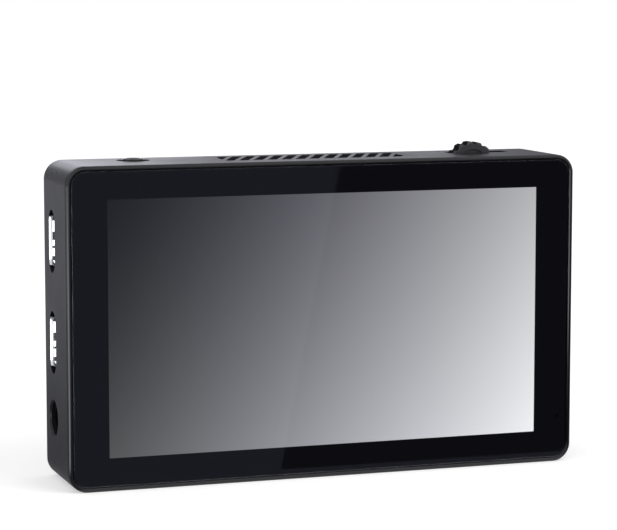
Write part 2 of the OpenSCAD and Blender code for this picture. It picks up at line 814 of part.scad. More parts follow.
// Collar round the bore, bevelled on both edges of its rim
module headphone_collar() {
    length = phone_collar_top - phone_body_top + phone_collar_in;
    bore_r = phone_bore_d / 2;
    outer_r = phone_collar_r - 0.02;
    bevel = 0.4;
    color([0.1, 0.1, 0.1]) translate([phone_x, front_y + port_depth, phone_body_top - phone_collar_in])
        rotate_extrude() polygon([
            [bore_r, 0], [outer_r, 0], [outer_r, length - bevel], [outer_r - bevel, length],
            [bore_r + bevel, length], [bore_r, length - bevel]]);
}

// Draws with the wheel's axle along z, z = 0 on the wheel's middle
module on_axle() {
    translate([wheel_x, front_y + port_depth, wheel_z]) rotate([-90, 0, 0]) children();
}

// Grip wheel: a bevelled disc with notches all round its rim
module menu_wheel() {
    bevel = 0.5;
    notch_r = 0.95;
    color([0.2, 0.2, 0.21]) on_axle() difference() {
        union() {
            translate([0, 0, -wheel_t / 2 + bevel]) cylinder(wheel_t - 2 * bevel, r = wheel_r);
            for (side = [0, 1]) mirror([0, 0, side])
                translate([0, 0, wheel_t / 2 - bevel - eps]) cylinder(bevel + eps, wheel_r, wheel_r - bevel);
        }
        for (i = [0:wheel_notches - 1]) rotate((i + 0.5) * 360 / wheel_notches)
            translate([wheel_r + notch_r - notch_in, 0, -wheel_t]) cylinder(2 * wheel_t, r = notch_r);
        for (side = [0, 1]) mirror([0, 0, side])
            translate([0, 0, wheel_t / 2 - 0.5]) difference() {
                cylinder(1, r = wheel_r - 2.2);
                translate([0, 0, -1]) cylinder(3, r = 2.2);
            }
        translate([0, 0, -wheel_t]) cylinder(2 * wheel_t, r = axle_d / 2 + 0.01);
    }
}

module wheel_axle() {
    color(metal_col) translate([wheel_x, front_y + axle_front, wheel_z]) rotate([-90, 0, 0])
        cylinder(axle_back - axle_front, r = axle_d / 2);
}

// Yoke that carries the axle and slides down on the guide pins
module wheel_yoke() {
    base_half = guide_dx + 1.6;
    base_d = 4.4;
    color([0.25, 0.25, 0.27]) difference() {
        union() {
            for (y = [yoke_front, yoke_back - arm_t]) facing(y)
                translate([wheel_x, 0, 0]) linear_extrude(arm_t) {
                    translate([-arm_half, yoke_foot]) square([2 * arm_half, wheel_z - yoke_foot]);
                    intersection() {
                        translate([0, wheel_z]) circle(arm_half);
                        translate([-arm_half, wheel_z - 1]) square([2 * arm_half, yoke_top - wheel_z + 1]);
                    }
                }
            facing(yoke_front) translate([wheel_x - arm_half, yoke_foot, 0])
                cube([2 * arm_half, yoke_base_t, yoke_back - yoke_front]);
            facing(port_depth - base_d / 2) translate([wheel_x - base_half, yoke_foot, 0])
                cube([2 * base_half, yoke_base_t, base_d]);
        }
        translate([wheel_x, front_y + axle_front - 1, wheel_z]) rotate([-90, 0, 0])
            cylinder(20, r = axle_d / 2 + pin_gap);
        for (sx = [-1, 1]) translate([wheel_x + sx * guide_dx, front_y + port_depth, yoke_foot - 1])
            cylinder(10, r = guide_r + pin_gap);
    }
}

plunger_r = 0.95;
plunger_l = yoke_foot - switch_top + 1;

module switch_plunger() {
    color([0.85, 0.85, 0.85]) translate([wheel_x, front_y + port_depth, yoke_foot - plunger_l])
        cylinder(plunger_l, r = plunger_r);
}

// Encoder on the yoke's back arm, turned by the end of the axle
module wheel_encoder() {
    color([0.1, 0.1, 0.12]) difference() {
        facing(yoke_back) translate([wheel_x - arm_half, wheel_z - 3.2, 0])
            cube([2 * arm_half, yoke_top - wheel_z + 3.2, encoder_d]);
        translate([wheel_x, front_y + yoke_back - 1, wheel_z]) rotate([-90, 0, 0])
            cylinder(encoder_d + 0.7, r = axle_d / 2 + pin_gap);
    }
}

module guide_pins() {
    color(metal_col) for (sx = [-1, 1])
        translate([wheel_x + sx * guide_dx, front_y + port_depth, shelf_z - shelf_t])
            cylinder(yoke_under + 1.4 - shelf_z + shelf_t, r = guide_r);
}

function bracket_holes() = [for (sx = [-1, 1]) [wheel_x + sx * 9, shelf_z - 7]];

// Angle bracket behind the main board, with the shelf for the wheel's own board
module wheel_bracket() {
    drop = 10;
    shelf_w = shelf_x1 - shelf_x0;
    color(metal_col) difference() {
        union() {
            facing(board_rear) translate([shelf_x0, shelf_z - shelf_t, 0])
                cube([shelf_w, shelf_t, shelf_back - board_rear]);
            facing(board_rear) translate([shelf_x0, shelf_z - drop, 0]) cube([shelf_w, drop, bracket_t]);
        }
        for (sx = [-1, 1]) translate([wheel_x + sx * guide_dx, front_y + port_depth, shelf_z - shelf_t - 1])
            cylinder(shelf_t + 2, r = guide_r + pin_gap);
        for (p = bracket_holes()) facing(board_rear - 1) translate([p[0], p[1], 0])
            cylinder(4, r = small_r + pin_gap);
    }
}

module wheel_board() {
    color(board_col) difference() {
        facing(board_rear + 0.2) translate([shelf_x0, shelf_z, 0])
            cube([shelf_x1 - shelf_x0, wheel_board_t, shelf_back - board_rear - 0.2]);
        for (sx = [-1, 1]) translate([wheel_x + sx * guide_dx, front_y + port_depth, shelf_z - 1])
            cylinder(wheel_board_t + 2, r = guide_r + pin_gap);
    }
}

module press_switch() {
    size = 4.5;
    color([0.15, 0.15, 0.15]) translate([wheel_x, front_y + port_depth, wheel_board_z]) difference() {
        translate([-size / 2, -size / 2, 0]) cube([size, size, switch_h]);
        translate([0, 0, 0.3]) cylinder(switch_h, r = plunger_r + pin_gap);
    }
}

module status_light() {
    color([0.9, 0.95, 0.9]) translate([light_x - 0.8, front_y + light_depth - 0.4, wheel_board_z])
        cube([1.6, 0.8, 0.7]);
}

// Clear rod from the status light to its window in the top
module light_pipe() {
    z0 = wheel_board_z + 0.7;
    color([0.85, 0.9, 0.9]) translate([light_x, front_y + light_depth, z0])
        cylinder(body_h - 0.2 - z0, r = light_d / 2 - pin_gap);
}

// Rear housing: a tub with the battery bay, screw bosses, insert bosses and every opening
module rear_housing() {
    inner_d = body_d - back_wall - housing_front;
    tub_w = bay_w + 2 * bay_wall;
    tub_h = bay_h + 2 * bay_wall;
    color(shell_col) difference() {
        union() {
            difference() {
                facing(housing_front) translate([0, mid_z, 0])
                    soft_slab(body_w, body_h, corner_r, body_d - housing_front, back_edge);
                facing(housing_front - 1) body_slab(wall, inner_d + 1);
            }
            facing(bay_under) translate([0, mid_z, 0])
                slab(tub_w, tub_h, bay_r + bay_wall, body_d - 1 - bay_under);
            facing(post_back) at_posts() cylinder(body_d - 1 - post_back, r = boss_r);
            translate([0, insert_y, wall - eps]) cylinder(insert_l, r = insert_boss_r);
            translate([side_x - wall + eps, insert_y, mid_z]) rotate([0, -90, 0])
                cylinder(insert_l, r = insert_boss_r);
            facing(well_floor - 1.2) translate([0, catch_z, 0])
                slab(catch_w + 2 * catch_clear + 2.4, catch_h + 2 * catch_clear + 2.4, 1.5,
                    bay_under - well_floor + 2);
        }
        facing(bay_floor) translate([0, mid_z, 0]) slab(bay_w, bay_h, bay_r, bay_depth + 1);
        facing(well_floor) translate([0, catch_z, 0])
            slab(catch_w + 2 * catch_clear, catch_h + 2 * catch_clear, 1, bay_floor);
        facing(post_back - 1) at_posts() cylinder(5, r = screw_r + 0.2);
        facing(head_seat) at_posts() cylinder(body_d, r = 2.6);
        translate([0, insert_y, -1]) cylinder(insert_l + 1.02, r = insert_d / 2 + 0.02);
        translate([side_x + 1, insert_y, mid_z]) rotate([0, -90, 0])
            cylinder(insert_l + 1.02, r = insert_d / 2 + 0.02);
        for (z = [video_upper_z, video_lower_z]) left_side(z) translate([0, 0, -1])
            slab(video_cut_w, video_cut_h, video_cut_h / 2 - eps, wall + 2);
        left_side(power_z) round_hole(power_hole_d / 2);
        translate([phone_x, front_y + port_depth, body_h]) rotate([180, 0, 0])
            round_hole(phone_recess_d / 2);
        grille_window();
        wheel_opening();
        translate([light_x, front_y + light_depth, body_h - wall - 1]) cylinder(wall + 2, r = light_d / 2);
        for (sx = [-1, 1]) facing(body_d - back_wall - 1)
            translate([sx * (side_x + bay_w / 2) / 2, mid_z, 0]) linear_extrude(back_wall + 2)
                slanted_slots(back_field_w, back_field_h, slot_pitch, slot_bar, slot_lean);
        for (x = contact_places()) facing(bay_under - 1) translate([x, contact_z, 0])
            cylinder(bay_wall + 2, r = contact_r + 0.2);
        facing(bay_floor - 1.2) at_fixings() cylinder(2, r = small_r + pin_gap);
    }
}

// Hole through a wall that starts at z = 0, with a bevelled mouth
module round_hole(r) {
    translate([0, 0, -1]) cylinder(wall + 2, r = r);
    translate([0, 0, -eps]) cylinder(hole_bevel + eps, r + hole_bevel + eps, r);
}

// Window for the top grille: a shallow seat and a smaller opening through it
module grille_window() {
    translate([-grille_w / 2 - fit, front_y + grille_front - fit, body_h - grille_t])
        cube([grille_w + 2 * fit, grille_d + 2 * fit, grille_t + 1]);
    translate([-grille_w / 2 + grille_seat, front_y + grille_front + grille_seat, body_h - wall - 1])
        cube([grille_w - 2 * grille_seat, grille_d - 2 * grille_seat, wall + 2]);
}

// Opening for the wheel, longer on the right
module wheel_opening() {
    half = sqrt(pow(wheel_r, 2) - pow(wheel_r - wheel_rise - wall, 2)) + slide_gap;
    width = wheel_t + 2 * slide_gap;
    translate([wheel_x - half, front_y + port_depth - width / 2, body_h - wall - 1])
        cube([2 * half + well_tail, width, wall + 2]);
}

// Top grille with slanted slots, seated in its window
module top_grille() {
    color([0.3, 0.3, 0.31]) translate([0, front_y, body_h - grille_t]) difference() {
        translate([-grille_w / 2, grille_front, 0]) cube([grille_w, grille_d, grille_t]);
        translate([0, grille_front + (grille_d + slots_margin_front - slots_margin_back) / 2, -1])
            linear_extrude(grille_t + 2) slanted_slots(grille_w - 2 * slots_end,
                grille_d - slots_margin_front - slots_margin_back, slot_pitch, slot_bar, slot_lean);
    }
}

module housing_screws() {
    color([0.3, 0.3, 0.31]) facing(head_seat) at_posts() screw(2.3, 1.8, screw_r, post_screw_l);
}

module at_fixings() {
    for (sx = [-1, 1], z = [bay_z0 + 4, bay_z1 - 4])
        translate([sx * (bay_w / 2 - 3.4), z, 0]) children();
}

function contact_places() = [-contact_dx, 0, contact_dx];

// One hook: an upright with a lip over the battery's groove
module hook() {
    lip = 1.3;
    upright = 1.6;
    rotate([90, 0, 0]) translate([0, 0, -hook_l / 2]) linear_extrude(hook_l) polygon([
        [0, 0], [upright, 0], [upright, hook_rise - 1.4], [upright + lip, hook_rise - 0.9],
        [upright + lip, hook_rise - 0.3], [upright + lip - 0.3, hook_rise], [0, hook_rise]]);
}

// Battery plate in the bay, with four hooks and openings for the contacts and the catch
module battery_plate() {
    color([0.14, 0.14, 0.15]) facing(bay_floor) difference() {
        union() {
            translate([0, mid_z, 0]) slab(bay_w - 2 * holder_in, bay_h - 2 * holder_in, bay_r, holder_t);
            for (side = [0, 1], sz = [-1, 1]) mirror([side, 0, 0])
                translate([-bay_w / 2 + holder_in + 0.2, mid_z + sz * hook_gap / 2, holder_t - eps]) hook();
        }
        translate([-block_w / 2 - fit, block_z0 - fit, -1])
            cube([block_w + 2 * fit, block_h + 2 * fit, 9]);
        translate([0, catch_z, -1]) slab(catch_w + 2 * slide_gap, catch_h + 2 * slide_gap, 1, holder_t + 2);
        translate([0, 0, -1]) at_fixings() cylinder(holder_t + 2, r = 1.1);
        translate([0, 0, holder_t - 1]) at_fixings() cylinder(2, r = 2.2);
        for (sx = [-1, 1]) translate([sx * 9 - 0.6, mid_z - 22, holder_t - 0.5]) cube([1.2, 44, 1]);
    }
}

module plate_fixings() {
    color([0.5, 0.5, 0.52]) facing(holder_back - 1) at_fixings() screw(head_r, 0.9, small_r, holder_t);
}

// Insulating block at the lower end of the bay
module contact_block() {
    color([0.08, 0.08, 0.08]) facing(bay_floor) difference() {
        union() {
            translate([-block_w / 2, block_z0, 0]) cube([block_w, block_h, holder_t + block_rise - 0.6]);
            translate([-block_w / 2 + 0.6, block_z0 + 0.6, 0])
                cube([block_w - 1.2, block_h - 1.2, holder_t + block_rise]);
        }
        for (x = contact_places()) translate([x, contact_z, -1]) {
            cylinder(holder_t + 3, r = contact_r + pin_gap);
            translate([-0.3 - pin_gap, -0.3 - pin_gap, 1 + holder_t + 1])
                cube([0.6 + 2 * pin_gap, block_h, block_rise]);
        }
    }
}

// Contact blades that point up the bay, each with a tail down to the main board
module battery_contacts() {
    blade_l = 5.2;
    tail = bay_floor + holder_t + 1.4 - board_rear;
    color(gold_col) for (x = contact_places()) facing(board_rear) translate([x, contact_z, 0]) {
        cylinder(tail + 0.3, r = contact_r);
        translate([-0.3, -0.3, tail - eps]) cube([0.6, blade_l, 1.2]);
    }
}

// Sprung catch that stands in the battery's way until it is pressed
module release_catch() {
    color([0.12, 0.12, 0.13]) facing(bay_floor) translate([0, catch_z, 0]) {
        translate([0, 0, -flange_t])
            slab(catch_w + 2 * flange_w, catch_h + 2 * flange_w, 0.8, flange_t);
        difference() {
            translate([0, 0, -eps]) slab(catch_w, catch_h, 0.8, holder_t + catch_travel);
            for (i = [-1, 0, 1])
                translate([-catch_w / 2 + 1.5, i * 1.3 - 0.3, holder_t + catch_travel - 0.3])
                    cube([catch_w - 3, 0.6, 1]);
        }
    }
}

// Coil spring under the catch
module catch_spring() {
    wire = 0.35;
    coil_r = 2.1;
    turns = 3;
    sides = 6;
    rings = 16;
    room = bay_floor - flange_t - well_floor;
    lift = room - wire;
    steps = turns * rings;
    points = [for (i = [0:steps], k = [0:sides - 1])
        let (a = 360 * i / rings, b = 360 * k / sides, rr = coil_r + wire / 2 * cos(b))
        [rr * cos(a), rr * sin(a), wire / 2 + lift * i / steps + wire / 2 * sin(b)]];
    sidefaces = [for (i = [0:steps - 1], k = [0:sides - 1], half = [0, 1])
        let (a = i * sides + k, b = i * sides + (k + 1) % sides)
        half == 0 ? [a, a + sides, b] : [b, a + sides, b + sides]];
    ends = [[for (k = [0:sides - 1]) k], [for (k = [sides - 1:-1:0]) steps * sides + k]];
    color(metal_col) facing(well_floor) translate([0, catch_z, 0])
        polyhedron(points, concat(sidefaces, ends));
}

// Threaded insert, mouth at z = 0 and body along -z
module insert() {
    mirror([0, 0, 1]) difference() {
        union() {
            cylinder(insert_l, r = insert_d / 2 - 0.35);
            cylinder(2, r = insert_d / 2);
            translate([0, 0, insert_l - 3]) cylinder(3, r = insert_d / 2);
        }
        translate([0, 0, -1]) cylinder(insert_bore_l + 1, r = insert_bore_d / 2);
        translate([0, 0, -eps]) cylinder(0.6, insert_bore_d / 2 + 0.6, insert_bore_d / 2);
    }
}

module insert_bottom() {
    color(metal_col) translate([0, insert_y, 0]) rotate([180, 0, 0]) insert();
}

module insert_side() {
    color(metal_col) translate([side_x, insert_y, mid_z]) rotate([0, 90, 0]) insert();
}

front_frame();
cover_glass();
border_mask();
glass_tape();
light_sensor();
lcd_panel();
diffuser_sheet();
light_guide();
led_strip();
backlight_tray();
foam_pads();
chassis_plate();
plate_screws();
display_ribbon();
ribbon_socket();
main_board();
board_screws();
main_chip();
thermal_pad();
heat_sink();
small_screws();
power_coils();
capacitors();
video_shell_upper();
video_core_upper();
video_shell_lower();
video_core_lower();
video_contacts();
power_socket();
power_pin();
headphone_socket();
headphone_collar();
menu_wheel();
wheel_axle();
wheel_yoke();
switch_plunger();
wheel_encoder();
guide_pins();
wheel_bracket();
wheel_board();
press_switch();
status_light();
light_pipe();
rear_housing();
top_grille();
housing_screws();
battery_plate();
plate_fixings();
contact_block();
battery_contacts();
release_catch();
catch_spring();
insert_bottom();
insert_side();
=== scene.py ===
import json
import math
import bmesh
import bpy
from mathutils import Matrix, Vector


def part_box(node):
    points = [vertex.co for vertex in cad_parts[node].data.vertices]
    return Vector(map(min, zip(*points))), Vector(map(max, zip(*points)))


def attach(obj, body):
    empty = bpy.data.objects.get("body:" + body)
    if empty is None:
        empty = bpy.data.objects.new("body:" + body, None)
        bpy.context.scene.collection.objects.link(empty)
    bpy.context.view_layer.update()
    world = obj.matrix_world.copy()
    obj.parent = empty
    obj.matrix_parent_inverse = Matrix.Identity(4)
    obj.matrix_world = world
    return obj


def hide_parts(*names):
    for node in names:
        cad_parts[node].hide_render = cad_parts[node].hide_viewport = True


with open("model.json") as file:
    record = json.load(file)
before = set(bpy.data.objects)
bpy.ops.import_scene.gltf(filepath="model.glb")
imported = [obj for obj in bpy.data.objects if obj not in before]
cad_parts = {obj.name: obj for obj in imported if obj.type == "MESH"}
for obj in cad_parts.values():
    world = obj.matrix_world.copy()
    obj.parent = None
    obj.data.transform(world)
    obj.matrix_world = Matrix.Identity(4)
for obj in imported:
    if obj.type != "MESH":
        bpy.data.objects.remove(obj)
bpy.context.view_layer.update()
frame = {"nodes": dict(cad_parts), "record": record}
nodes = frame["nodes"]
print("frame loaded:", len(nodes), "nodes")


# node helpers

def addNode(tree, kind, inputs=None, **values):
    node = tree.nodes.new(kind)
    for key, value in values.items():
        setattr(node, key, value)
    for key, value in (inputs or {}).items():
        node.inputs[key].default_value = value
    return node


def link(tree, source, target):
    tree.links.new(source, target)


def mathNode(tree, operation, first, second=None, clamp=False):
    node = addNode(tree, "ShaderNodeMath", operation=operation, use_clamp=clamp)
    for index, value in enumerate([first, second]):
        if value is None:
            continue
        if isinstance(value, (int, float)):
            node.inputs[index].default_value = value
        else:
            link(tree, value, node.inputs[index])
    return node.outputs[0]


def mixColour(tree, factor, first, second, blend="MIX"):
    node = addNode(tree, "ShaderNodeMix", data_type="RGBA", blend_type=blend)
    for socket, value in ((node.inputs[0], factor), (node.inputs[6], first), (node.inputs[7], second)):
        if isinstance(value, bpy.types.NodeSocket):
            link(tree, value, socket)
        elif isinstance(value, tuple):
            socket.default_value = (*value[:3], 1.0)
        else:
            socket.default_value = value
    return node.outputs[2]


def rescale(tree, value, low, high, toLow, toHigh):
    node = addNode(tree, "ShaderNodeMapRange")
    link(tree, value, node.inputs["Value"])
    for name, number in (("From Min", low), ("From Max", high), ("To Min", toLow), ("To Max", toHigh)):
        node.inputs[name].default_value = number
    return node.outputs["Result"]


def newGroup(name, inputs, outputs):
    tree = bpy.data.node_groups.new(name, "ShaderNodeTree")
    for socket, kind, value in inputs:
        made = tree.interface.new_socket(name=socket, in_out="INPUT", socket_type=kind)
        if value is not None:
            made.default_value = value
    for socket, kind in outputs:
        tree.interface.new_socket(name=socket, in_out="OUTPUT", socket_type=kind)
    return tree, addNode(tree, "NodeGroupInput"), addNode(tree, "NodeGroupOutput")


# shared effects

def makeGrainGroup():
    # fine moulded grain: a cell pattern for the pits and a slow noise for the patches
    tree, given, result = newGroup("mouldedGrain", [
        ("Vector", "NodeSocketVector", None), ("Scale", "NodeSocketFloat", 2600.0),
        ("Patch Scale", "NodeSocketFloat", 45.0)], [
        ("Height", "NodeSocketFloat"), ("Patches", "NodeSocketFloat")])
    cells = addNode(tree, "ShaderNodeTexVoronoi", feature="SMOOTH_F1")
    cells.inputs["Smoothness"].default_value = 0.6
    fine = addNode(tree, "ShaderNodeTexNoise", inputs={"Detail": 3.0, "Roughness": 0.6})
    patches = addNode(tree, "ShaderNodeTexNoise", inputs={"Detail": 2.0, "Roughness": 0.5})
    for texture in (cells, fine, patches):
        link(tree, given.outputs["Vector"], texture.inputs["Vector"])
    link(tree, given.outputs["Scale"], cells.inputs["Scale"])
    link(tree, given.outputs["Scale"], fine.inputs["Scale"])
    link(tree, given.outputs["Patch Scale"], patches.inputs["Scale"])
    height = mathNode(tree, "MULTIPLY", fine.outputs["Fac"], 0.5)
    height = mathNode(tree, "ADD", cells.outputs["Distance"], height)
    link(tree, height, result.inputs["Height"])
    link(tree, patches.outputs["Fac"], result.inputs["Patches"])
    return tree


def makeEdgeGroup():
    # where a sharp edge has been rubbed: the bevelled normal leaves the true one
    tree, given, result = newGroup("rubbedEdge", [
        ("Vector", "NodeSocketVector", None), ("Radius", "NodeSocketFloat", 0.0003),
        ("Breakup", "NodeSocketFloat", 700.0)], [("Mask", "NodeSocketFloat")])
    bevel = addNode(tree, "ShaderNodeBevel", samples=4)
    link(tree, given.outputs["Radius"], bevel.inputs["Radius"])
    surface = addNode(tree, "ShaderNodeNewGeometry")
    facing = addNode(tree, "ShaderNodeVectorMath", operation="DOT_PRODUCT")
    link(tree, bevel.outputs["Normal"], facing.inputs[0])
    link(tree, surface.outputs["Normal"], facing.inputs[1])
    edge = rescale(tree, facing.outputs["Value"], 0.99, 0.86, 0.0, 1.0)
    noise = addNode(tree, "ShaderNodeTexNoise", inputs={"Detail": 4.0, "Roughness": 0.65})
    link(tree, given.outputs["Vector"], noise.inputs["Vector"])
    link(tree, given.outputs["Breakup"], noise.inputs["Scale"])
    broken = rescale(tree, noise.outputs["Fac"], 0.35, 0.7, 0.25, 1.0)
    link(tree, mathNode(tree, "MULTIPLY", edge, broken, clamp=True), result.inputs["Mask"])
    return tree


def makeDustGroup():
    # specks of dust on what faces up, and a little everywhere
    tree, given, result = newGroup("settledDust", [
        ("Vector", "NodeSocketVector", None), ("Scale", "NodeSocketFloat", 900.0),
        ("Amount", "NodeSocketFloat", 0.5)], [("Mask", "NodeSocketFloat")])
    surface = addNode(tree, "ShaderNodeNewGeometry")
    parts = addNode(tree, "ShaderNodeSeparateXYZ")
    link(tree, surface.outputs["Normal"], parts.inputs[0])
    upward = rescale(tree, parts.outputs["Z"], 0.2, 1.0, 0.15, 1.0)
    specks = addNode(tree, "ShaderNodeTexVoronoi", feature="F1")
    cloud = addNode(tree, "ShaderNodeTexNoise", inputs={"Detail": 3.0, "Scale": 60.0})
    link(tree, given.outputs["Vector"], specks.inputs["Vector"])
    link(tree, given.outputs["Scale"], specks.inputs["Scale"])
    link(tree, given.outputs["Vector"], cloud.inputs["Vector"])
    dots = rescale(tree, specks.outputs["Distance"], 0.16, 0.08, 0.0, 1.0)
    veil = rescale(tree, cloud.outputs["Fac"], 0.4, 0.75, 0.0, 0.5)
    both = mathNode(tree, "MAXIMUM", dots, veil)
    amount = mathNode(tree, "MULTIPLY", both, given.outputs["Amount"])
    link(tree, mathNode(tree, "MULTIPLY", amount, upward, clamp=True), result.inputs["Mask"])
    return tree


def makeSmudgeGroup():
    # finger marks and wiped streaks on smooth faces
    tree, given, result = newGroup("fingerMarks", [
        ("Vector", "NodeSocketVector", None), ("Scale", "NodeSocketFloat", 28.0)],
        [("Mask", "NodeSocketFloat")])
    blots = addNode(tree, "ShaderNodeTexNoise", inputs={"Detail": 2.0, "Distortion": 0.6})
    link(tree, given.outputs["Vector"], blots.inputs["Vector"])
    link(tree, given.outputs["Scale"], blots.inputs["Scale"])
    link(tree, rescale(tree, blots.outputs["Fac"], 0.52, 0.72, 0.0, 1.0), result.inputs["Mask"])
    return tree


def makeBrushGroup():
    # long scratches along one axis, set by how much each axis is stretched
    tree, given, result = newGroup("brushLines", [
        ("Vector", "NodeSocketVector", None), ("Stretch", "NodeSocketVector", (200.0, 4000.0, 4000.0))],
        [("Height", "NodeSocketFloat"), ("Tone", "NodeSocketFloat")])
    scaled = addNode(tree, "ShaderNodeVectorMath", operation="MULTIPLY")
    link(tree, given.outputs["Vector"], scaled.inputs[0])
    link(tree, given.outputs["Stretch"], scaled.inputs[1])
    lines = addNode(tree, "ShaderNodeTexNoise", inputs={"Scale": 1.0, "Detail": 5.0, "Roughness": 0.7})
    link(tree, scaled.outputs[0], lines.inputs["Vector"])
    broad = addNode(tree, "ShaderNodeTexNoise", inputs={"Scale": 0.15, "Detail": 2.0})
    link(tree, scaled.outputs[0], broad.inputs["Vector"])
    link(tree, lines.outputs["Fac"], result.inputs["Height"])
    link(tree, broad.outputs["Fac"], result.inputs["Tone"])
    return tree


grainGroup = makeGrainGroup()
edgeGroup = makeEdgeGroup()
dustGroup = makeDustGroup()
smudgeGroup = makeSmudgeGroup()
brushGroup = makeBrushGroup()


def useGroup(tree, group, **values):
    node = addNode(tree, "ShaderNodeGroup", node_tree=group)
    coordinates = addNode(tree, "ShaderNodeTexCoord")
    link(tree, coordinates.outputs["Object"], node.inputs["Vector"])
    for key, value in values.items():
        node.inputs[key.replace("_", " ")].default_value = value
    return node


def startMaterial(name, colour, roughness, metallic=0.0, **sockets):
    material = bpy.data.materials.new(name)
    material.use_nodes = True
    tree = material.node_tree
    shader = tree.nodes["Principled BSDF"]
    shader.inputs["Base Color"].default_value = (*colour, 1.0)
    shader.inputs["Roughness"].default_value = roughness
    shader.inputs["Metallic"].default_value = metallic
    for key, value in sockets.items():
        shader.inputs[key.replace("_", " ")].default_value = value
    return material, tree, shader


def addBump(tree, shader, height, strength, distance):
    bump = addNode(tree, "ShaderNodeBump", inputs={"Strength": strength, "Distance": distance})
    link(tree, height, bump.inputs["Height"])
    link(tree, bump.outputs["Normal"], shader.inputs["Normal"])


# finishes

def shadeBetweenDepths(tree, front, back):
    # painted shade between two depths: near black and dull in the groove between frame and housing, and on the
    # wheel's rim
    coordinates = addNode(tree, "ShaderNodeTexCoord")
    parts = addNode(tree, "ShaderNodeSeparateXYZ")
    link(tree, coordinates.outputs["Object"], parts.inputs[0])
    after = mathNode(tree, "GREATER_THAN", parts.outputs["Y"], front)
    before = mathNode(tree, "LESS_THAN", parts.outputs["Y"], back)
    return mathNode(tree, "MULTIPLY", after, before)


# the band colour is painted shade, for the groove between parts
plasticLook = {
    "patchDark": 0.8, "patchLight": 1.25, "dustShare": 0.35, "dustColour": (0.42, 0.41, 0.4),
    "edgePolish": 0.12, "dustDull": 0.2, "reliefDepth": 0.00003, "shadeBandColour": (0.0008, 0.0008, 0.001),
}


def mouldedPlastic(name, look):
    material, tree, shader = startMaterial(name, look["colour"], look["roughness"],
        Specular_IOR_Level=look["gloss"], Specular_Tint=(*look["tint"], 1.0))
    grain = useGroup(tree, grainGroup, Scale=look["grain"])
    edge = useGroup(tree, edgeGroup, Radius=look["edge"])
    dust = useGroup(tree, dustGroup, Amount=look["dust"])
    darker = tuple(c * plasticLook["patchDark"] for c in look["colour"])
    lighter = tuple(c * plasticLook["patchLight"] for c in look["colour"])
    body = mixColour(tree, grain.outputs["Patches"], darker, lighter)
    worn = mathNode(tree, "MULTIPLY", edge.outputs["Mask"], look["wear"])
    settled = mathNode(tree, "MULTIPLY", dust.outputs["Mask"], plasticLook["dustShare"])
    colour = mixColour(tree, settled, mixColour(tree, worn, body, look["rubbed"]), plasticLook["dustColour"])
    middle, spread = look["roughness"], look["spread"]
    rough = rescale(tree, grain.outputs["Patches"], 0.3, 0.7, middle - spread, middle + spread)
    polish = mathNode(tree, "MULTIPLY", edge.outputs["Mask"], plasticLook["edgePolish"])
    film = mathNode(tree, "MULTIPLY", dust.outputs["Mask"], plasticLook["dustDull"])
    dull = mathNode(tree, "ADD", mathNode(tree, "SUBTRACT", rough, polish), film, clamp=True)
    if "shadeBand" in look:
        # painted shade: what lies between the two depths is painted near black and made dull
        shadeMask = shadeBetweenDepths(tree, *look["shadeBand"])
        colour = mixColour(tree, shadeMask, colour, plasticLook["shadeBandColour"])
        dull = mathNode(tree, "MAXIMUM", dull, shadeMask)
    link(tree, colour, shader.inputs["Base Color"])
    link(tree, dull, shader.inputs["Roughness"])
    addBump(tree, shader, grain.outputs["Height"], look["relief"], plasticLook["reliefDepth"])
    return material


metalLook = {"edgeShare": 0.6, "edgeGain": 1.3, "edgeLift": 0.05, "smoothest": 0.75, "roughest": 1.3,
    "reliefDepth": 0.00001}


def metal(name, look):
    material, tree, shader = startMaterial(name, look["colour"], look["roughness"], 1.0)
    brush = useGroup(tree, brushGroup, Stretch=look["stretch"])
    edge = useGroup(tree, edgeGroup, Radius=look["edge"])
    darker = tuple(c * look["depth"] for c in look["colour"])
    tone = rescale(tree, brush.outputs["Tone"], 0.3, 0.7, 0.0, 1.0)
    body = mixColour(tree, tone, darker, look["colour"])
    bright = tuple(min(1.0, c * metalLook["edgeGain"] + metalLook["edgeLift"]) for c in look["colour"])
    share = mathNode(tree, "MULTIPLY", edge.outputs["Mask"], metalLook["edgeShare"])
    link(tree, mixColour(tree, share, body, bright), shader.inputs["Base Color"])
    link(tree, rescale(tree, brush.outputs["Height"], 0.3, 0.7, look["roughness"] * metalLook["smoothest"],
        look["roughness"] * metalLook["roughest"]), shader.inputs["Roughness"])
    addBump(tree, shader, brush.outputs["Height"], look["relief"], metalLook["reliefDepth"])
    return material


softLook = {"roughness": 0.85, "gloss": 0.3, "pitShade": 0.5, "reliefDepth": 0.0001}


def softStuff(name, look):
    # foam, tape and pads: open cells and a dull face
    material, tree, shader = startMaterial(name, look["colour"], softLook["roughness"],
        Specular_IOR_Level=softLook["gloss"])
    coordinates = addNode(tree, "ShaderNodeTexCoord")
    cells = addNode(tree, "ShaderNodeTexVoronoi", feature="F1", inputs={"Scale": look["cell"]})
    link(tree, coordinates.outputs["Object"], cells.inputs["Vector"])
    pits = rescale(tree, cells.outputs["Distance"], 0.1, 0.6, 0.0, 1.0)
    shaded = tuple(c * softLook["pitShade"] for c in look["colour"])
    link(tree, mixColour(tree, pits, shaded, look["colour"]), shader.inputs["Base Color"])
    link(tree, rescale(tree, cells.outputs["Distance"], 0.0, 0.7, 0.95, 0.7), shader.inputs["Roughness"])
    addBump(tree, shader, cells.outputs["Distance"], look["relief"], softLook["reliefDepth"])
    return material


def smearOn(tree, shader, look, smeared):
    # finger marks take some gloss and clearness away
    marks = useGroup(tree, smudgeGroup, Scale=look["marks"]).outputs["Mask"]
    link(tree, rescale(tree, marks, 0.0, 1.0, look["roughness"], look["roughness"] + look["smear"]),
        shader.inputs["Roughness"])
    link(tree, mixColour(tree, marks, look["colour"], smeared), shader.inputs["Base Color"])


clearLook = {"index": 1.49, "smearShade": 0.93}


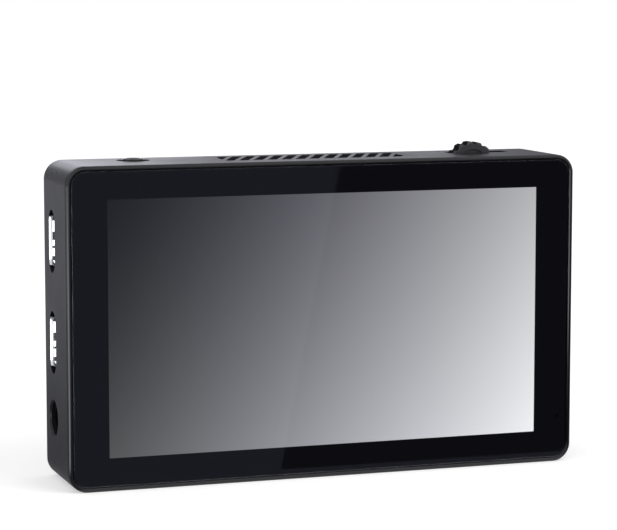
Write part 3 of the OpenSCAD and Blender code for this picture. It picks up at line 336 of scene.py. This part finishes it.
def clearPart(name, look):
    material, tree, shader = startMaterial(name, look["colour"], look["roughness"],
        Transmission_Weight=look["clear"], IOR=clearLook["index"])
    smearOn(tree, shader, look, tuple(c * clearLook["smearShade"] for c in look["colour"]))
    return material


coverGlassLook = {
    "colour": (0.96, 0.97, 1.0), "smeared": (0.95, 0.96, 0.985), "roughness": 0.015, "index": 1.5,
    "tint": (0.9, 0.93, 1.0), "marks": 24.0, "smear": 0.03,
}


def coverGlass():
    look = coverGlassLook
    material, tree, shader = startMaterial("coatedGlass", look["colour"], look["roughness"],
        Transmission_Weight=1.0, IOR=look["index"], Specular_Tint=(*look["tint"], 1.0))
    smearOn(tree, shader, look, look["smeared"])
    return material


printLook = {
    "colour": (0.006, 0.006, 0.008), "roughness": (0.42, 0.6), "gloss": 0.1, "dots": 3000.0, "dotLight": 1.3,
    "paintedGlowTint": (0.73, 0.73, 1.0), "paintedGlowStrength": 0.0045,
}


def blackPrint():
    # screen-printed border: a faint mesh of dots left by the printing
    look = printLook
    smoothest, roughest = look["roughness"]
    material, tree, shader = startMaterial("printedBorder", look["colour"], roughest,
        Specular_IOR_Level=look["gloss"])
    # painted light: the printed border glows faintly, standing in for the light that strays inside the glass
    shader.inputs["Emission Color"].default_value = (*look["paintedGlowTint"], 1.0)
    shader.inputs["Emission Strength"].default_value = look["paintedGlowStrength"]
    coordinates = addNode(tree, "ShaderNodeTexCoord")
    dots = addNode(tree, "ShaderNodeTexVoronoi", feature="F1",
        inputs={"Scale": look["dots"], "Randomness": 0.2})
    link(tree, coordinates.outputs["Object"], dots.inputs["Vector"])
    lighter = tuple(c * look["dotLight"] for c in look["colour"])
    link(tree, mixColour(tree, dots.outputs["Distance"], look["colour"], lighter), shader.inputs["Base Color"])
    link(tree, rescale(tree, dots.outputs["Distance"], 0.0, 0.7, smoothest, roughest),
        shader.inputs["Roughness"])
    return material


pictureLook = {
    "halfWidth": 0.066, "halfHeight": 0.037,
    "middle": 133.7, "across": 86.6, "up": -33.8, "acrossSquared": 0.7, "acrossUp": 1.1,
    "blueMiddle": 4.1, "blueAcross": 0.9, "blueSquared": -5.2,
    "offset": 14.03, "scale": 269.03, "power": 2.4, "panelColour": (0.0015, 0.0015, 0.002),
}


def lightOf(tree, level):
    # from a level of 0 to 255 to linear light
    raised = mathNode(tree, "ADD", level, pictureLook["offset"])
    base = mathNode(tree, "DIVIDE", raised, pictureLook["scale"])
    return mathNode(tree, "POWER", mathNode(tree, "MAXIMUM", base, 0.0), pictureLook["power"])


def sumOf(tree, start, *terms):
    total = start
    for value, weight in terms:
        total = mathNode(tree, "ADD", mathNode(tree, "MULTIPLY", value, weight), total)
    return total


def screenPanel():
    # the picture is an even grey ramp, so its light is worked out from the place on the panel
    look = pictureLook
    material, tree, shader = startMaterial("litPanel", look["panelColour"], 0.35, Specular_IOR_Level=0.02)
    low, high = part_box("lcd_panel")
    coordinates = addNode(tree, "ShaderNodeTexCoord")
    parts = addNode(tree, "ShaderNodeSeparateXYZ")
    link(tree, coordinates.outputs["Object"], parts.inputs[0])
    across = mathNode(tree, "DIVIDE", parts.outputs["X"], look["halfWidth"])
    raised = mathNode(tree, "SUBTRACT", parts.outputs["Z"], (low.z + high.z) / 2)
    up = mathNode(tree, "DIVIDE", raised, look["halfHeight"])
    squared = mathNode(tree, "MULTIPLY", across, across)
    product = mathNode(tree, "MULTIPLY", across, up)
    level = sumOf(tree, look["middle"], (across, look["across"]), (up, look["up"]),
        (squared, look["acrossSquared"]), (product, look["acrossUp"]))
    extra = sumOf(tree, look["blueMiddle"], (across, look["blueAcross"]), (squared, look["blueSquared"]))
    grey = lightOf(tree, level)
    blue = lightOf(tree, mathNode(tree, "ADD", level, extra))
    colour = addNode(tree, "ShaderNodeCombineColor")
    for index, light in enumerate((grey, grey, blue)):
        link(tree, light, colour.inputs[index])
    link(tree, colour.outputs[0], shader.inputs["Emission Color"])
    shader.inputs["Emission Strength"].default_value = 1.0
    return material


boardLook = {"mask": (0.012, 0.075, 0.035), "copper": (0.03, 0.13, 0.06), "pad": (0.5, 0.48, 0.42),
    "track": 420.0, "pads": 350.0}


def circuitBoard():
    # solder mask over copper: straight tracks from a brick pattern, and pads from cells
    material, tree, shader = startMaterial("varnishedBoard", boardLook["mask"], 0.35, Coat_Weight=0.3)
    coordinates = addNode(tree, "ShaderNodeTexCoord")
    turned = addNode(tree, "ShaderNodeMapping")
    turned.inputs["Rotation"].default_value = (math.radians(90), 0.0, 0.0)
    link(tree, coordinates.outputs["Object"], turned.inputs["Vector"])
    tracks = addNode(tree, "ShaderNodeTexBrick", inputs={"Scale": boardLook["track"], "Mortar Size": 0.06})
    link(tree, turned.outputs[0], tracks.inputs["Vector"])
    pads = addNode(tree, "ShaderNodeTexVoronoi", feature="F1", distance="CHEBYCHEV",
        inputs={"Scale": boardLook["pads"], "Randomness": 0.7})
    link(tree, coordinates.outputs["Object"], pads.inputs["Vector"])
    pad = rescale(tree, pads.outputs["Distance"], 0.14, 0.12, 0.0, 1.0)
    body = mixColour(tree, tracks.outputs["Fac"], boardLook["copper"], boardLook["mask"])
    link(tree, mixColour(tree, pad, body, boardLook["pad"]), shader.inputs["Base Color"])
    link(tree, rescale(tree, pads.outputs["Distance"], 0.0, 0.8, 0.28, 0.45), shader.inputs["Roughness"])
    addBump(tree, shader, tracks.outputs["Fac"], 0.3, 0.00003)
    return material


ribbonLook = {"film": (0.32, 0.14, 0.03), "trace": (0.6, 0.34, 0.1)}


def flatRibbon():
    material, tree, shader = startMaterial("amberRibbon", ribbonLook["film"], 0.3, Coat_Weight=0.4)
    coordinates = addNode(tree, "ShaderNodeTexCoord")
    traces = addNode(tree, "ShaderNodeTexWave", wave_type="BANDS", bands_direction="X",
        inputs={"Scale": 320.0, "Distortion": 0.0})
    link(tree, coordinates.outputs["Object"], traces.inputs["Vector"])
    line = rescale(tree, traces.outputs["Fac"], 0.45, 0.6, 0.0, 1.0)
    link(tree, mixColour(tree, line, ribbonLook["film"], ribbonLook["trace"]), shader.inputs["Base Color"])
    link(tree, rescale(tree, traces.outputs["Fac"], 0.0, 1.0, 0.35, 0.22), shader.inputs["Roughness"])
    addBump(tree, shader, line, 0.2, 0.00003)
    return material


coolTint = (0.96, 0.95, 1.0)
noTint = (1.0, 1.0, 1.0)
finishes = {
    "housing": mouldedPlastic("satinHousing", {
        "colour": (0.01, 0.01, 0.012), "roughness": 0.3, "gloss": 0.18, "tint": coolTint, "grain": 2600.0,
        "edge": 0.0004, "wear": 0.3, "rubbed": (0.09, 0.09, 0.1), "dust": 0.12, "spread": 0.03, "relief": 0.18,
        "shadeBand": (-0.01341, -0.0133)}),
    "frame": mouldedPlastic("satinFrame", {
        "colour": (0.004, 0.004, 0.005), "roughness": 0.18, "gloss": 0.5, "tint": coolTint, "grain": 4200.0,
        "edge": 0.00025, "wear": 0.12, "rubbed": (0.05, 0.05, 0.055), "dust": 0.08,
        "spread": 0.02, "relief": 0.06,
        "shadeBand": (-0.01395, -0.0133)}),
    "grille": mouldedPlastic("grillePlate", {
        "colour": (0.024, 0.024, 0.028), "roughness": 0.34, "gloss": 0.35, "tint": coolTint, "grain": 2600.0,
        "edge": 0.0003, "wear": 0.5, "rubbed": (0.2, 0.2, 0.21), "dust": 0.15, "spread": 0.03, "relief": 0.18}),
    "wheel": mouldedPlastic("gripWheel", {
        "colour": (0.05, 0.05, 0.054), "roughness": 0.5, "gloss": 0.25, "tint": coolTint, "grain": 3200.0,
        "edge": 0.0003, "wear": 0.4, "rubbed": (0.1, 0.1, 0.105), "dust": 0.1, "spread": 0.05, "relief": 0.3,
        "shadeBand": (0.0023, 0.0061)}),
    "black_plastic": mouldedPlastic("blackPlastic", {
        "colour": (0.006, 0.006, 0.0065), "roughness": 0.4, "gloss": 0.35, "tint": noTint,
        "grain": 3200.0, "edge": 0.0002, "wear": 0.2, "rubbed": (0.05, 0.05, 0.055), "dust": 0.1,
        "spread": 0.05, "relief": 0.2}),
    "chip": mouldedPlastic("chipBody", {
        "colour": (0.02, 0.02, 0.022), "roughness": 0.6, "gloss": 0.35, "tint": noTint,
        "grain": 5200.0, "edge": 0.00015, "wear": 0.3, "rubbed": (0.1, 0.1, 0.1), "dust": 0.2,
        "spread": 0.05, "relief": 0.2}),
    "white_sheet": mouldedPlastic("whiteSheet", {
        "colour": (0.8, 0.8, 0.79), "roughness": 0.6, "gloss": 0.3, "tint": noTint,
        "grain": 5200.0, "edge": 0.0001, "wear": 0.1, "rubbed": (0.9, 0.9, 0.9), "dust": 0.1,
        "spread": 0.04, "relief": 0.1}),
    "light_diodes": mouldedPlastic("diodeStrip", {
        "colour": (0.78, 0.66, 0.2), "roughness": 0.4, "gloss": 0.5, "tint": noTint,
        "grain": 3200.0, "edge": 0.0001, "wear": 0.1, "rubbed": (0.9, 0.9, 0.8), "dust": 0.1,
        "spread": 0.04, "relief": 0.1}),
    "tray_sheet": metal("pressedSheet", {
        "colour": (0.55, 0.56, 0.58), "roughness": 0.32, "depth": 0.8, "edge": 0.0002,
        "stretch": (150.0, 3000.0, 3000.0), "relief": 0.15}),
    "steel": metal("plainSteel", {
        "colour": (0.45, 0.45, 0.46), "roughness": 0.28, "depth": 0.75, "edge": 0.0001,
        "stretch": (3000.0, 3000.0, 300.0), "relief": 0.1}),
    "dark_screw": metal("blackenedScrew", {
        "colour": (0.06, 0.06, 0.065), "roughness": 0.38, "depth": 0.7, "edge": 0.00015,
        "stretch": (2500.0, 2500.0, 900.0), "relief": 0.1}),
    "socket_shell": metal("platedShell", {
        "colour": (0.68, 0.68, 0.69), "roughness": 0.2, "depth": 0.85, "edge": 0.00012,
        "stretch": (2200.0, 3000.0, 400.0), "relief": 0.08}),
    "contacts": metal("goldContacts", {
        "colour": (0.83, 0.6, 0.22), "roughness": 0.22, "depth": 0.85, "edge": 0.00005,
        "stretch": (400.0, 4000.0, 4000.0), "relief": 0.06}),
    "heat_sink": metal("anodisedSink", {
        "colour": (0.07, 0.07, 0.078), "roughness": 0.4, "depth": 0.8, "edge": 0.0002,
        "stretch": (2500.0, 2500.0, 120.0), "relief": 0.2}),
    "capacitor": metal("capacitorCan", {
        "colour": (0.55, 0.56, 0.58), "roughness": 0.25, "depth": 0.8, "edge": 0.0002,
        "stretch": (3000.0, 200.0, 3000.0), "relief": 0.08}),
    "insert": metal("turnedInsert", {
        "colour": (0.42, 0.42, 0.43), "roughness": 0.3, "depth": 0.75, "edge": 0.0002,
        "stretch": (1800.0, 1800.0, 1800.0), "relief": 0.12}),
    "adhesive": softStuff("blackTape", {"colour": (0.02, 0.02, 0.02), "cell": 1800.0, "relief": 0.2}),
    "foam": softStuff("foamPad", {"colour": (0.035, 0.035, 0.036), "cell": 1400.0, "relief": 0.7}),
    "thermal_pad": softStuff("thermalPad", {"colour": (0.18, 0.26, 0.36), "cell": 2600.0, "relief": 0.3}),
    "clear_plastic": clearPart("lightGuide", {
        "colour": (0.9, 0.93, 0.95), "roughness": 0.08, "clear": 0.85, "marks": 60.0, "smear": 0.12}),
    "window": clearPart("smokyRod", {
        "colour": (0.05, 0.05, 0.055), "roughness": 0.12, "clear": 0.6, "marks": 200.0, "smear": 0.12}),
    "cover_glass": coverGlass(),
    "black_print": blackPrint(),
    "panel": screenPanel(),
    "circuit_board": circuitBoard(),
    "ribbon": flatRibbon(),
}

# pieces whose finish differs from the rest of their slot
ownFinishes = {
    "headphone_collar": mouldedPlastic("collarBlack", {
        "colour": (0.003, 0.003, 0.003), "roughness": 0.2, "gloss": 0.5, "tint": noTint,
        "grain": 4200.0, "edge": 0.0002, "wear": 0.3, "rubbed": (0.1, 0.1, 0.1), "dust": 0.05,
        "spread": 0.03, "relief": 0.08}),
    # painted shade: the power socket sits deep in its hole, so it is painted blacker than its plastic and
    # almost without gloss
    "power_socket": mouldedPlastic("socketPaintedShade", {
        "colour": (0.002, 0.002, 0.002), "roughness": 0.6, "gloss": 0.04, "tint": noTint,
        "grain": 3200.0, "edge": 0.0002, "wear": 0.2, "rubbed": (0.02, 0.02, 0.02), "dust": 0.0,
        "spread": 0.05, "relief": 0.2}),
    "light_sensor": mouldedPlastic("sensorChip", {
        "colour": (0.001, 0.001, 0.0012), "roughness": 0.5, "gloss": 0.05, "tint": noTint,
        "grain": 5200.0, "edge": 0.0001, "wear": 0.1, "rubbed": (0.01, 0.01, 0.01), "dust": 0.0,
        "spread": 0.03, "relief": 0.05}),
}

for part in frame["record"]["subparts"]:
    piece = nodes[part["node"]]
    piece.data.materials.clear()
    piece.data.materials.append(ownFinishes.get(part["node"], finishes[part["material_slot"]]))
print("finishes on the packed parts:", len(finishes))


# pieces modelled here, in millimetres first

def finishPiece(name, shape, place, slot, replaced=None):
    # doubles, normals, its place in metres, and its slot on the monitor
    bmesh.ops.remove_doubles(shape, verts=shape.verts, dist=0.0005)
    bmesh.ops.recalc_face_normals(shape, faces=shape.faces)
    bmesh.ops.transform(shape, matrix=place, verts=shape.verts)
    mesh = bpy.data.meshes.new(name)
    shape.to_mesh(mesh)
    shape.free()
    piece = bpy.data.objects.new(name, mesh)
    bpy.context.scene.collection.objects.link(piece)
    mesh.materials.append(finishes[slot])
    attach(piece, "monitor")
    if replaced:
        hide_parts(replaced)


bodyLook = {"halfWidth": 0.07825, "socketDepth": 0.0042}


def onLeftSide(height, depth):
    # x runs down the side, y to the back and z into the body
    return Matrix(((0.0, 0.0, 0.001, -bodyLook["halfWidth"]), (0.0, 0.001, 0.0, depth),
        (-0.001, 0.0, 0.0, height), (0.0, 0.0, 0.0, 1.0)))


def onRightSide(height):
    # x runs up the side and z into the body
    return Matrix(((0.0, 0.0, -0.001, bodyLook["halfWidth"]), (0.0, 0.001, 0.0, 0.0),
        (0.001, 0.0, 0.0, height), (0.0, 0.0, 0.0, 1.0)))


def cutOff(shape, point, outward):
    # takes away what lies outside a plane
    bmesh.ops.bisect_plane(shape, geom=shape.verts[:] + shape.edges[:] + shape.faces[:],
        plane_co=point, plane_no=outward, clear_outer=True)


videoMouthLook = {
    "segments": 32, "outerRadius": 3.45, "outerShift": 5.4, "outerDepth": 0.12,
    "innerRadius": 2.42, "innerShift": 4.85, "innerDepth": 0.86, "bell": 0.16,
    "cut": 7.2, "rearFrom": 0.5, "sheet": 0.14,
    "fingers": [(-4.2, 3.2), (0.7, 1.6), (3.4, 2.3), (6.3, 0.9)],
    "fingerDepths": [(0.82, 2.28), (1.15, 2.08), (1.6, 1.86), (2.2, 1.7), (2.9, 1.8)], "fingerSheet": 0.1,
}


def makeVideoMouth(name, height):
    # the flared rear lip of a video socket's shell, and the spring fingers inside its rear wall
    look = videoMouthLook
    shape = bmesh.new()
    rings = []
    for part in ("outer", "inner"):
        ring = bmesh.ops.create_circle(shape, segments=look["segments"],
            radius=look[part + "Radius"])["verts"]
        bmesh.ops.rotate(shape, verts=ring, cent=(0, 0, 0),
            matrix=Matrix.Rotation(math.pi / look["segments"], 3, "Z"))
        for vert in ring:
            vert.co.x += math.copysign(look[part + "Shift"], vert.co.x)
            vert.co.z = look[part + "Depth"]
        rings.append(set(ring))
    bridged = bmesh.ops.bridge_loops(shape, edges=shape.edges[:])
    spokes = [edge for edge in bridged["edges"]
        if (edge.verts[0] in rings[0]) != (edge.verts[1] in rings[0])]
    halfway = bmesh.ops.subdivide_edges(shape, edges=spokes, cuts=1)["geom_inner"]
    for vert in [item for item in halfway if isinstance(item, bmesh.types.BMVert)]:
        vert.co.z += look["bell"]
    for side in (1, -1):
        cutOff(shape, (side * look["cut"], 0, 0), (side, 0, 0))
    # only the rear lip stands out; in front the shell's own edge shows
    cutOff(shape, (0, look["rearFrom"], 0), (0, -1, 0))
    bmesh.ops.recalc_face_normals(shape, faces=shape.faces)
    bmesh.ops.solidify(shape, geom=shape.faces[:], thickness=look["sheet"])
    steps = len(look["fingerDepths"]) - 1
    for centre, width in look["fingers"]:
        grid = bmesh.ops.create_grid(shape, x_segments=1, y_segments=steps, size=0.5)["verts"]
        for vert in grid:
            step = round((vert.co.y + 0.5) * steps)
            depth, offset = look["fingerDepths"][step]
            vert.co = Vector((centre + vert.co.x * width, offset, depth))
        faces = list({face for vert in grid for face in vert.link_faces})
        bmesh.ops.solidify(shape, geom=faces, thickness=look["fingerSheet"])
    finishPiece(name, shape, onLeftSide(height, bodyLook["socketDepth"]), "socket_shell")


def middleHeight(node):
    low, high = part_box(node)
    return (low.z + high.z) / 2


makeVideoMouth("video_mouth_upper", middleHeight("video_shell_upper"))
makeVideoMouth("video_mouth_lower", middleHeight("video_shell_lower"))
print("video socket mouths made")

insertLook = {
    "pitch": 1.27, "crest": 2.6, "root": 3.08, "flat": 0.16, "steps": 32, "turns": 8,
    "start": 0.45, "end": 7.2, "mouth": 3.3, "ringSegments": 48,
    "rings": [(3.55, 0.0), (4.8, 0.0), (5.0, 0.2), (5.0, 8.5)],
}


def loopAt(shape, height):
    return [edge for edge in shape.edges if edge.is_boundary
        and all(abs(vert.co.z - height) < 0.0005 for vert in edge.verts)]


def turnedRing(shape, radius, height):
    ring = bmesh.ops.create_circle(shape, segments=insertLook["ringSegments"], radius=radius)["verts"]
    bmesh.ops.translate(shape, verts=ring, vec=(0, 0, height))
    return list({edge for vert in ring for edge in vert.link_edges})


def makeInsert(name, node, place):
    # a threaded bush: the groove is wound up the bore, cut level and closed by turned rings
    look = insertLook
    shape = bmesh.new()
    half = look["pitch"] / 2
    profile = [(look["crest"], 0.0), (look["crest"], look["flat"]), (look["root"], half - look["flat"] / 2),
        (look["root"], half + look["flat"] / 2), (look["crest"], look["pitch"] - look["flat"]),
        (look["crest"], look["pitch"])]
    verts = [shape.verts.new((radius, 0.0, z - look["pitch"])) for radius, z in profile]
    edges = [shape.edges.new(pair) for pair in zip(verts, verts[1:])]
    bmesh.ops.spin(shape, geom=verts + edges, cent=(0, 0, 0), axis=(0, 0, 1),
        dvec=(0, 0, look["pitch"] / look["steps"]), angle=2 * math.pi * look["turns"],
        steps=look["steps"] * look["turns"], use_merge=False)
    bmesh.ops.remove_doubles(shape, verts=shape.verts, dist=0.002)
    for height, side in ((look["start"], -1), (look["end"], 1)):
        cutOff(shape, (0, 0, height), (0, 0, side))
    bmesh.ops.edgeloop_fill(shape, edges=loopAt(shape, look["end"]))
    cut = loopAt(shape, look["start"])
    last = turnedRing(shape, look["mouth"], look["start"])
    bmesh.ops.triangle_fill(shape, edges=cut + last, use_beauty=True)
    for radius, height in look["rings"]:
        edges = turnedRing(shape, radius, height)
        bmesh.ops.bridge_loops(shape, edges=last + edges)
        last = edges
    bmesh.ops.edgeloop_fill(shape, edges=last)
    finishPiece(name, shape, place, "insert", replaced=node)


makeInsert("threaded_bush_bottom", "insert_bottom", Matrix.Scale(0.001, 4))
makeInsert("threaded_bush_side", "insert_side", onRightSide(middleHeight("insert_side")))
print("threaded bushes made")


# studio

studioLook = {
    "floorHalf": 4.0, "floorColour": 0.8, "floorGlow": 0.52, "floorGlowNear": 0.46, "floorNear": (0.1, 0.25),
    "ambient": 0.62,
    "keyPlace": (0.9, -1.3, 1.5), "keySize": 1.4, "keyPower": 14.0,
    "fillPlace": (-1.3, -0.9, 1.1), "fillSize": 1.6, "fillPower": 5.0,
    "cardTint": (0.91, 0.92, 1.0), "clothTint": (0.74, 0.76, 1.0),
    "leftCloth": [(-1.0, 0.25), (1.0, 0.25)], "rightCloth": [(-1.0, 0.03), (1.0, 0.03)],
    "sideFloor": [(-0.02, 0.35), (0.03, 0.22), (0.12, 0.26), (0.4, 0.52), (1.5, 0.5)],
    "sideScreen": [(-2.0, 0.33), (0.0, 0.33)],
    "backScreen": [(0.03, 2.1), (0.067, 1.62), (0.1, 1.1), (0.235, 0.77), (0.27, 0.5), (0.31, 0.28)],
    "upperScreen": [(-0.3, 0.03), (0.2, 0.05), (0.5, 0.8)],
    "sidePaper": [(-1.0, 4.2), (0.0, 4.2)],
}

# patches are left, right, front and back; screens left, right, distance behind, foot and top
cardPlaces = {
    "patchHeight": 0.001, "leftCloth": (-0.12, 2.5, -3.0, -0.018), "sideFloor": (-2.0, -0.073, -0.02, 1.5),
    "sideScreen": (-2.0, -0.15, 1.5, 0.002, 1.2), "backScreen": (-0.1, 1.2, 0.5, 0.05, 0.26),
    "upperScreen": (-0.3, 1.5, 0.51, 0.26, 3.0),
    "clothEdge": ((-0.0002, -0.0552, 0.0015), (0.4114, -1.166, 0.0015)), "clothStart": 0.035, "clothEnd": 2.0,
    "clothSide": (2.5, 0.0, 0.0),
    "paperFoot": (-0.081, -0.0145, 0.002), "paperWings": ((-1.0, 0.3, 0.0), (-0.75, -1.0, 0.0)),
    "paperStart": 0.02,
}


def directRays(tree):
    # one for the camera's own rays and for what is seen in gloss or through glass
    path = addNode(tree, "ShaderNodeLightPath")
    mirrored = mathNode(tree, "MAXIMUM", path.outputs["Is Camera Ray"], path.outputs["Is Glossy Ray"])
    return mathNode(tree, "MAXIMUM", mirrored, path.outputs["Is Transmission Ray"])


def stagePlane(name, corners, material):
    mesh = bpy.data.meshes.new(name)
    shape = bmesh.new()
    shape.faces.new([shape.verts.new(corner) for corner in corners])
    shape.to_mesh(mesh)
    shape.free()
    plane = bpy.data.objects.new(name, mesh)
    bpy.context.scene.collection.objects.link(plane)
    mesh.materials.append(material)
    return plane


def studioFloor():
    material = bpy.data.materials.new("paperFloor")
    material.use_nodes = True
    tree = material.node_tree
    tree.nodes.clear()
    out = addNode(tree, "ShaderNodeOutputMaterial")
    coordinates = addNode(tree, "ShaderNodeTexCoord")
    fibres = addNode(tree, "ShaderNodeTexNoise", inputs={"Scale": 600.0, "Detail": 3.0})
    link(tree, coordinates.outputs["Object"], fibres.inputs["Vector"])
    white = studioLook["floorColour"]
    paper = mixColour(tree, fibres.outputs["Fac"], (white * 0.98,) * 3, (white * 1.02,) * 3)
    diffuse = addNode(tree, "ShaderNodeBsdfDiffuse")
    link(tree, paper, diffuse.inputs["Color"])
    glow = addNode(tree, "ShaderNodeEmission")
    seen = directRays(tree)
    # a little less of it by the part, where the lamps are nearest, so that the contact shadow shows
    distance = addNode(tree, "ShaderNodeVectorMath", operation="LENGTH")
    link(tree, coordinates.outputs["Object"], distance.inputs[0])
    near, far = studioLook["floorNear"]
    amount = rescale(tree, distance.outputs["Value"], near, far, studioLook["floorGlowNear"],
        studioLook["floorGlow"])
    link(tree, mathNode(tree, "MULTIPLY", seen, amount), glow.inputs["Strength"])
    both = addNode(tree, "ShaderNodeAddShader")
    link(tree, diffuse.outputs[0], both.inputs[0])
    link(tree, glow.outputs[0], both.inputs[1])
    link(tree, both.outputs[0], out.inputs["Surface"])
    half = studioLook["floorHalf"]
    corners = [(-half, -half, 0), (half, -half, 0), (half, half, 0), (-half, half, 0)]
    stagePlane("studioFloor", corners, material)


def studioWorld():
    world = bpy.data.worlds.new("studioWorld")
    world.use_nodes = True
    bpy.context.scene.world = world
    tree = world.node_tree
    shade = tree.nodes["Background"]
    seen = directRays(tree)
    link(tree, rescale(tree, seen, 0.0, 1.0, studioLook["ambient"], 1.0), shade.inputs["Strength"])
    shade.inputs["Color"].default_value = (1.0, 1.0, 1.0, 1.0)


def softLamp(name, place, size, power, target=(0.0, 0.0, 0.04)):
    lamp = bpy.data.lights.new(name, "AREA")
    lamp.shape = "SQUARE"
    lamp.size = size
    lamp.energy = power
    holder = bpy.data.objects.new(name, lamp)
    bpy.context.scene.collection.objects.link(holder)
    direction = Vector(target) - Vector(place)
    holder.matrix_world = Matrix.Translation(place) @ direction.to_track_quat("-Z", "Y").to_matrix().to_4x4()
    holder.visible_glossy = False


def glossCard(name, corners, stops, axis="X", tint="cardTint"):
    # a card seen only in reflections, also those inside the glass:
    # each stop is a place along the axis and the light the card gives there
    material = bpy.data.materials.new(name)
    material.use_nodes = True
    tree = material.node_tree
    tree.nodes.clear()
    out = addNode(tree, "ShaderNodeOutputMaterial")
    most = max(light for place, light in stops)
    first, last = stops[0][0], stops[-1][0]
    coordinates = addNode(tree, "ShaderNodeTexCoord")
    parts = addNode(tree, "ShaderNodeSeparateXYZ")
    link(tree, coordinates.outputs["Object"], parts.inputs[0])
    ramp = addNode(tree, "ShaderNodeValToRGB")
    link(tree, rescale(tree, parts.outputs[axis], first, last, 0.0, 1.0), ramp.inputs["Fac"])
    for place, light in stops[1:-1]:
        ramp.color_ramp.elements.new((place - first) / (last - first))
    for element, (place, light) in zip(ramp.color_ramp.elements, stops):
        element.color = (*(light / most * c for c in studioLook[tint]), 1.0)
    glow = addNode(tree, "ShaderNodeEmission", inputs={"Strength": most})
    link(tree, ramp.outputs["Color"], glow.inputs["Color"])
    link(tree, glow.outputs[0], out.inputs["Surface"])
    card = stagePlane(name, corners, material)
    card.visible_camera = False
    card.visible_diffuse = False
    card.visible_shadow = False


def floorPatch(name, axis="X", tint="cardTint"):
    left, right, front, back = cardPlaces[name]
    height = cardPlaces["patchHeight"]
    glossCard(name, [(left, front, height), (right, front, height), (right, back, height),
        (left, back, height)], studioLook[name], axis, tint)


def standingScreen(name):
    left, right, place, foot, top = cardPlaces[name]
    glossCard(name, [(left, place, foot), (right, place, foot), (right, place, top), (left, place, top)],
        studioLook[name])


def reflectionCards():
    # the dark cloth in front that the glass shows, in two tones with a slanting edge
    near, far = (Vector(point) for point in cardPlaces["clothEdge"])
    along = (far - near).normalized()
    start = near - along * cardPlaces["clothStart"]
    end = far + along * cardPlaces["clothEnd"]
    side = Vector(cardPlaces["clothSide"])
    glossCard("rightCloth", [start, start + side, end + side, end], studioLook["rightCloth"],
        tint="clothTint")
    floorPatch("leftCloth", tint="clothTint")
    # grey behind on the left for the left side, and a ramp behind on the right for the top
    floorPatch("sideFloor", "Y")
    standingScreen("sideScreen")
    standingScreen("backScreen")
    standingScreen("upperScreen")
    # bright paper out to the left, for the rim
    foot = Vector(cardPlaces["paperFoot"])
    wings = [Vector(wing) for wing in cardPlaces["paperWings"]]
    inner = [wing * cardPlaces["paperStart"] for wing in wings]
    glossCard("sidePaper", [foot + inner[0], foot + wings[0], foot + wings[1], foot + inner[1]],
        studioLook["sidePaper"])


studioFloor()
studioWorld()
softLamp("keyLamp", studioLook["keyPlace"], studioLook["keySize"], studioLook["keyPower"])
softLamp("fillLamp", studioLook["fillPlace"], studioLook["fillSize"], studioLook["fillPower"])
reflectionCards()

cameraLook = {"place": (-0.2350, -0.6891, 0.14685), "yaw": 18.745, "pitch": 6.694, "lens": 143.27}


def photoCamera():
    camera = bpy.data.cameras.new("photoCamera")
    camera.lens = cameraLook["lens"]
    camera.sensor_width = 36.0
    camera.sensor_fit = "HORIZONTAL"
    camera.clip_start = 0.01
    holder = bpy.data.objects.new("photoCamera", camera)
    holder.location = cameraLook["place"]
    holder.rotation_euler = (math.radians(90 - cameraLook["pitch"]), 0.0, math.radians(-cameraLook["yaw"]))
    bpy.context.scene.collection.objects.link(holder)
    bpy.context.scene.camera = holder


photoCamera()
bpy.context.scene.view_settings.view_transform = "Standard"
print("studio and camera set")
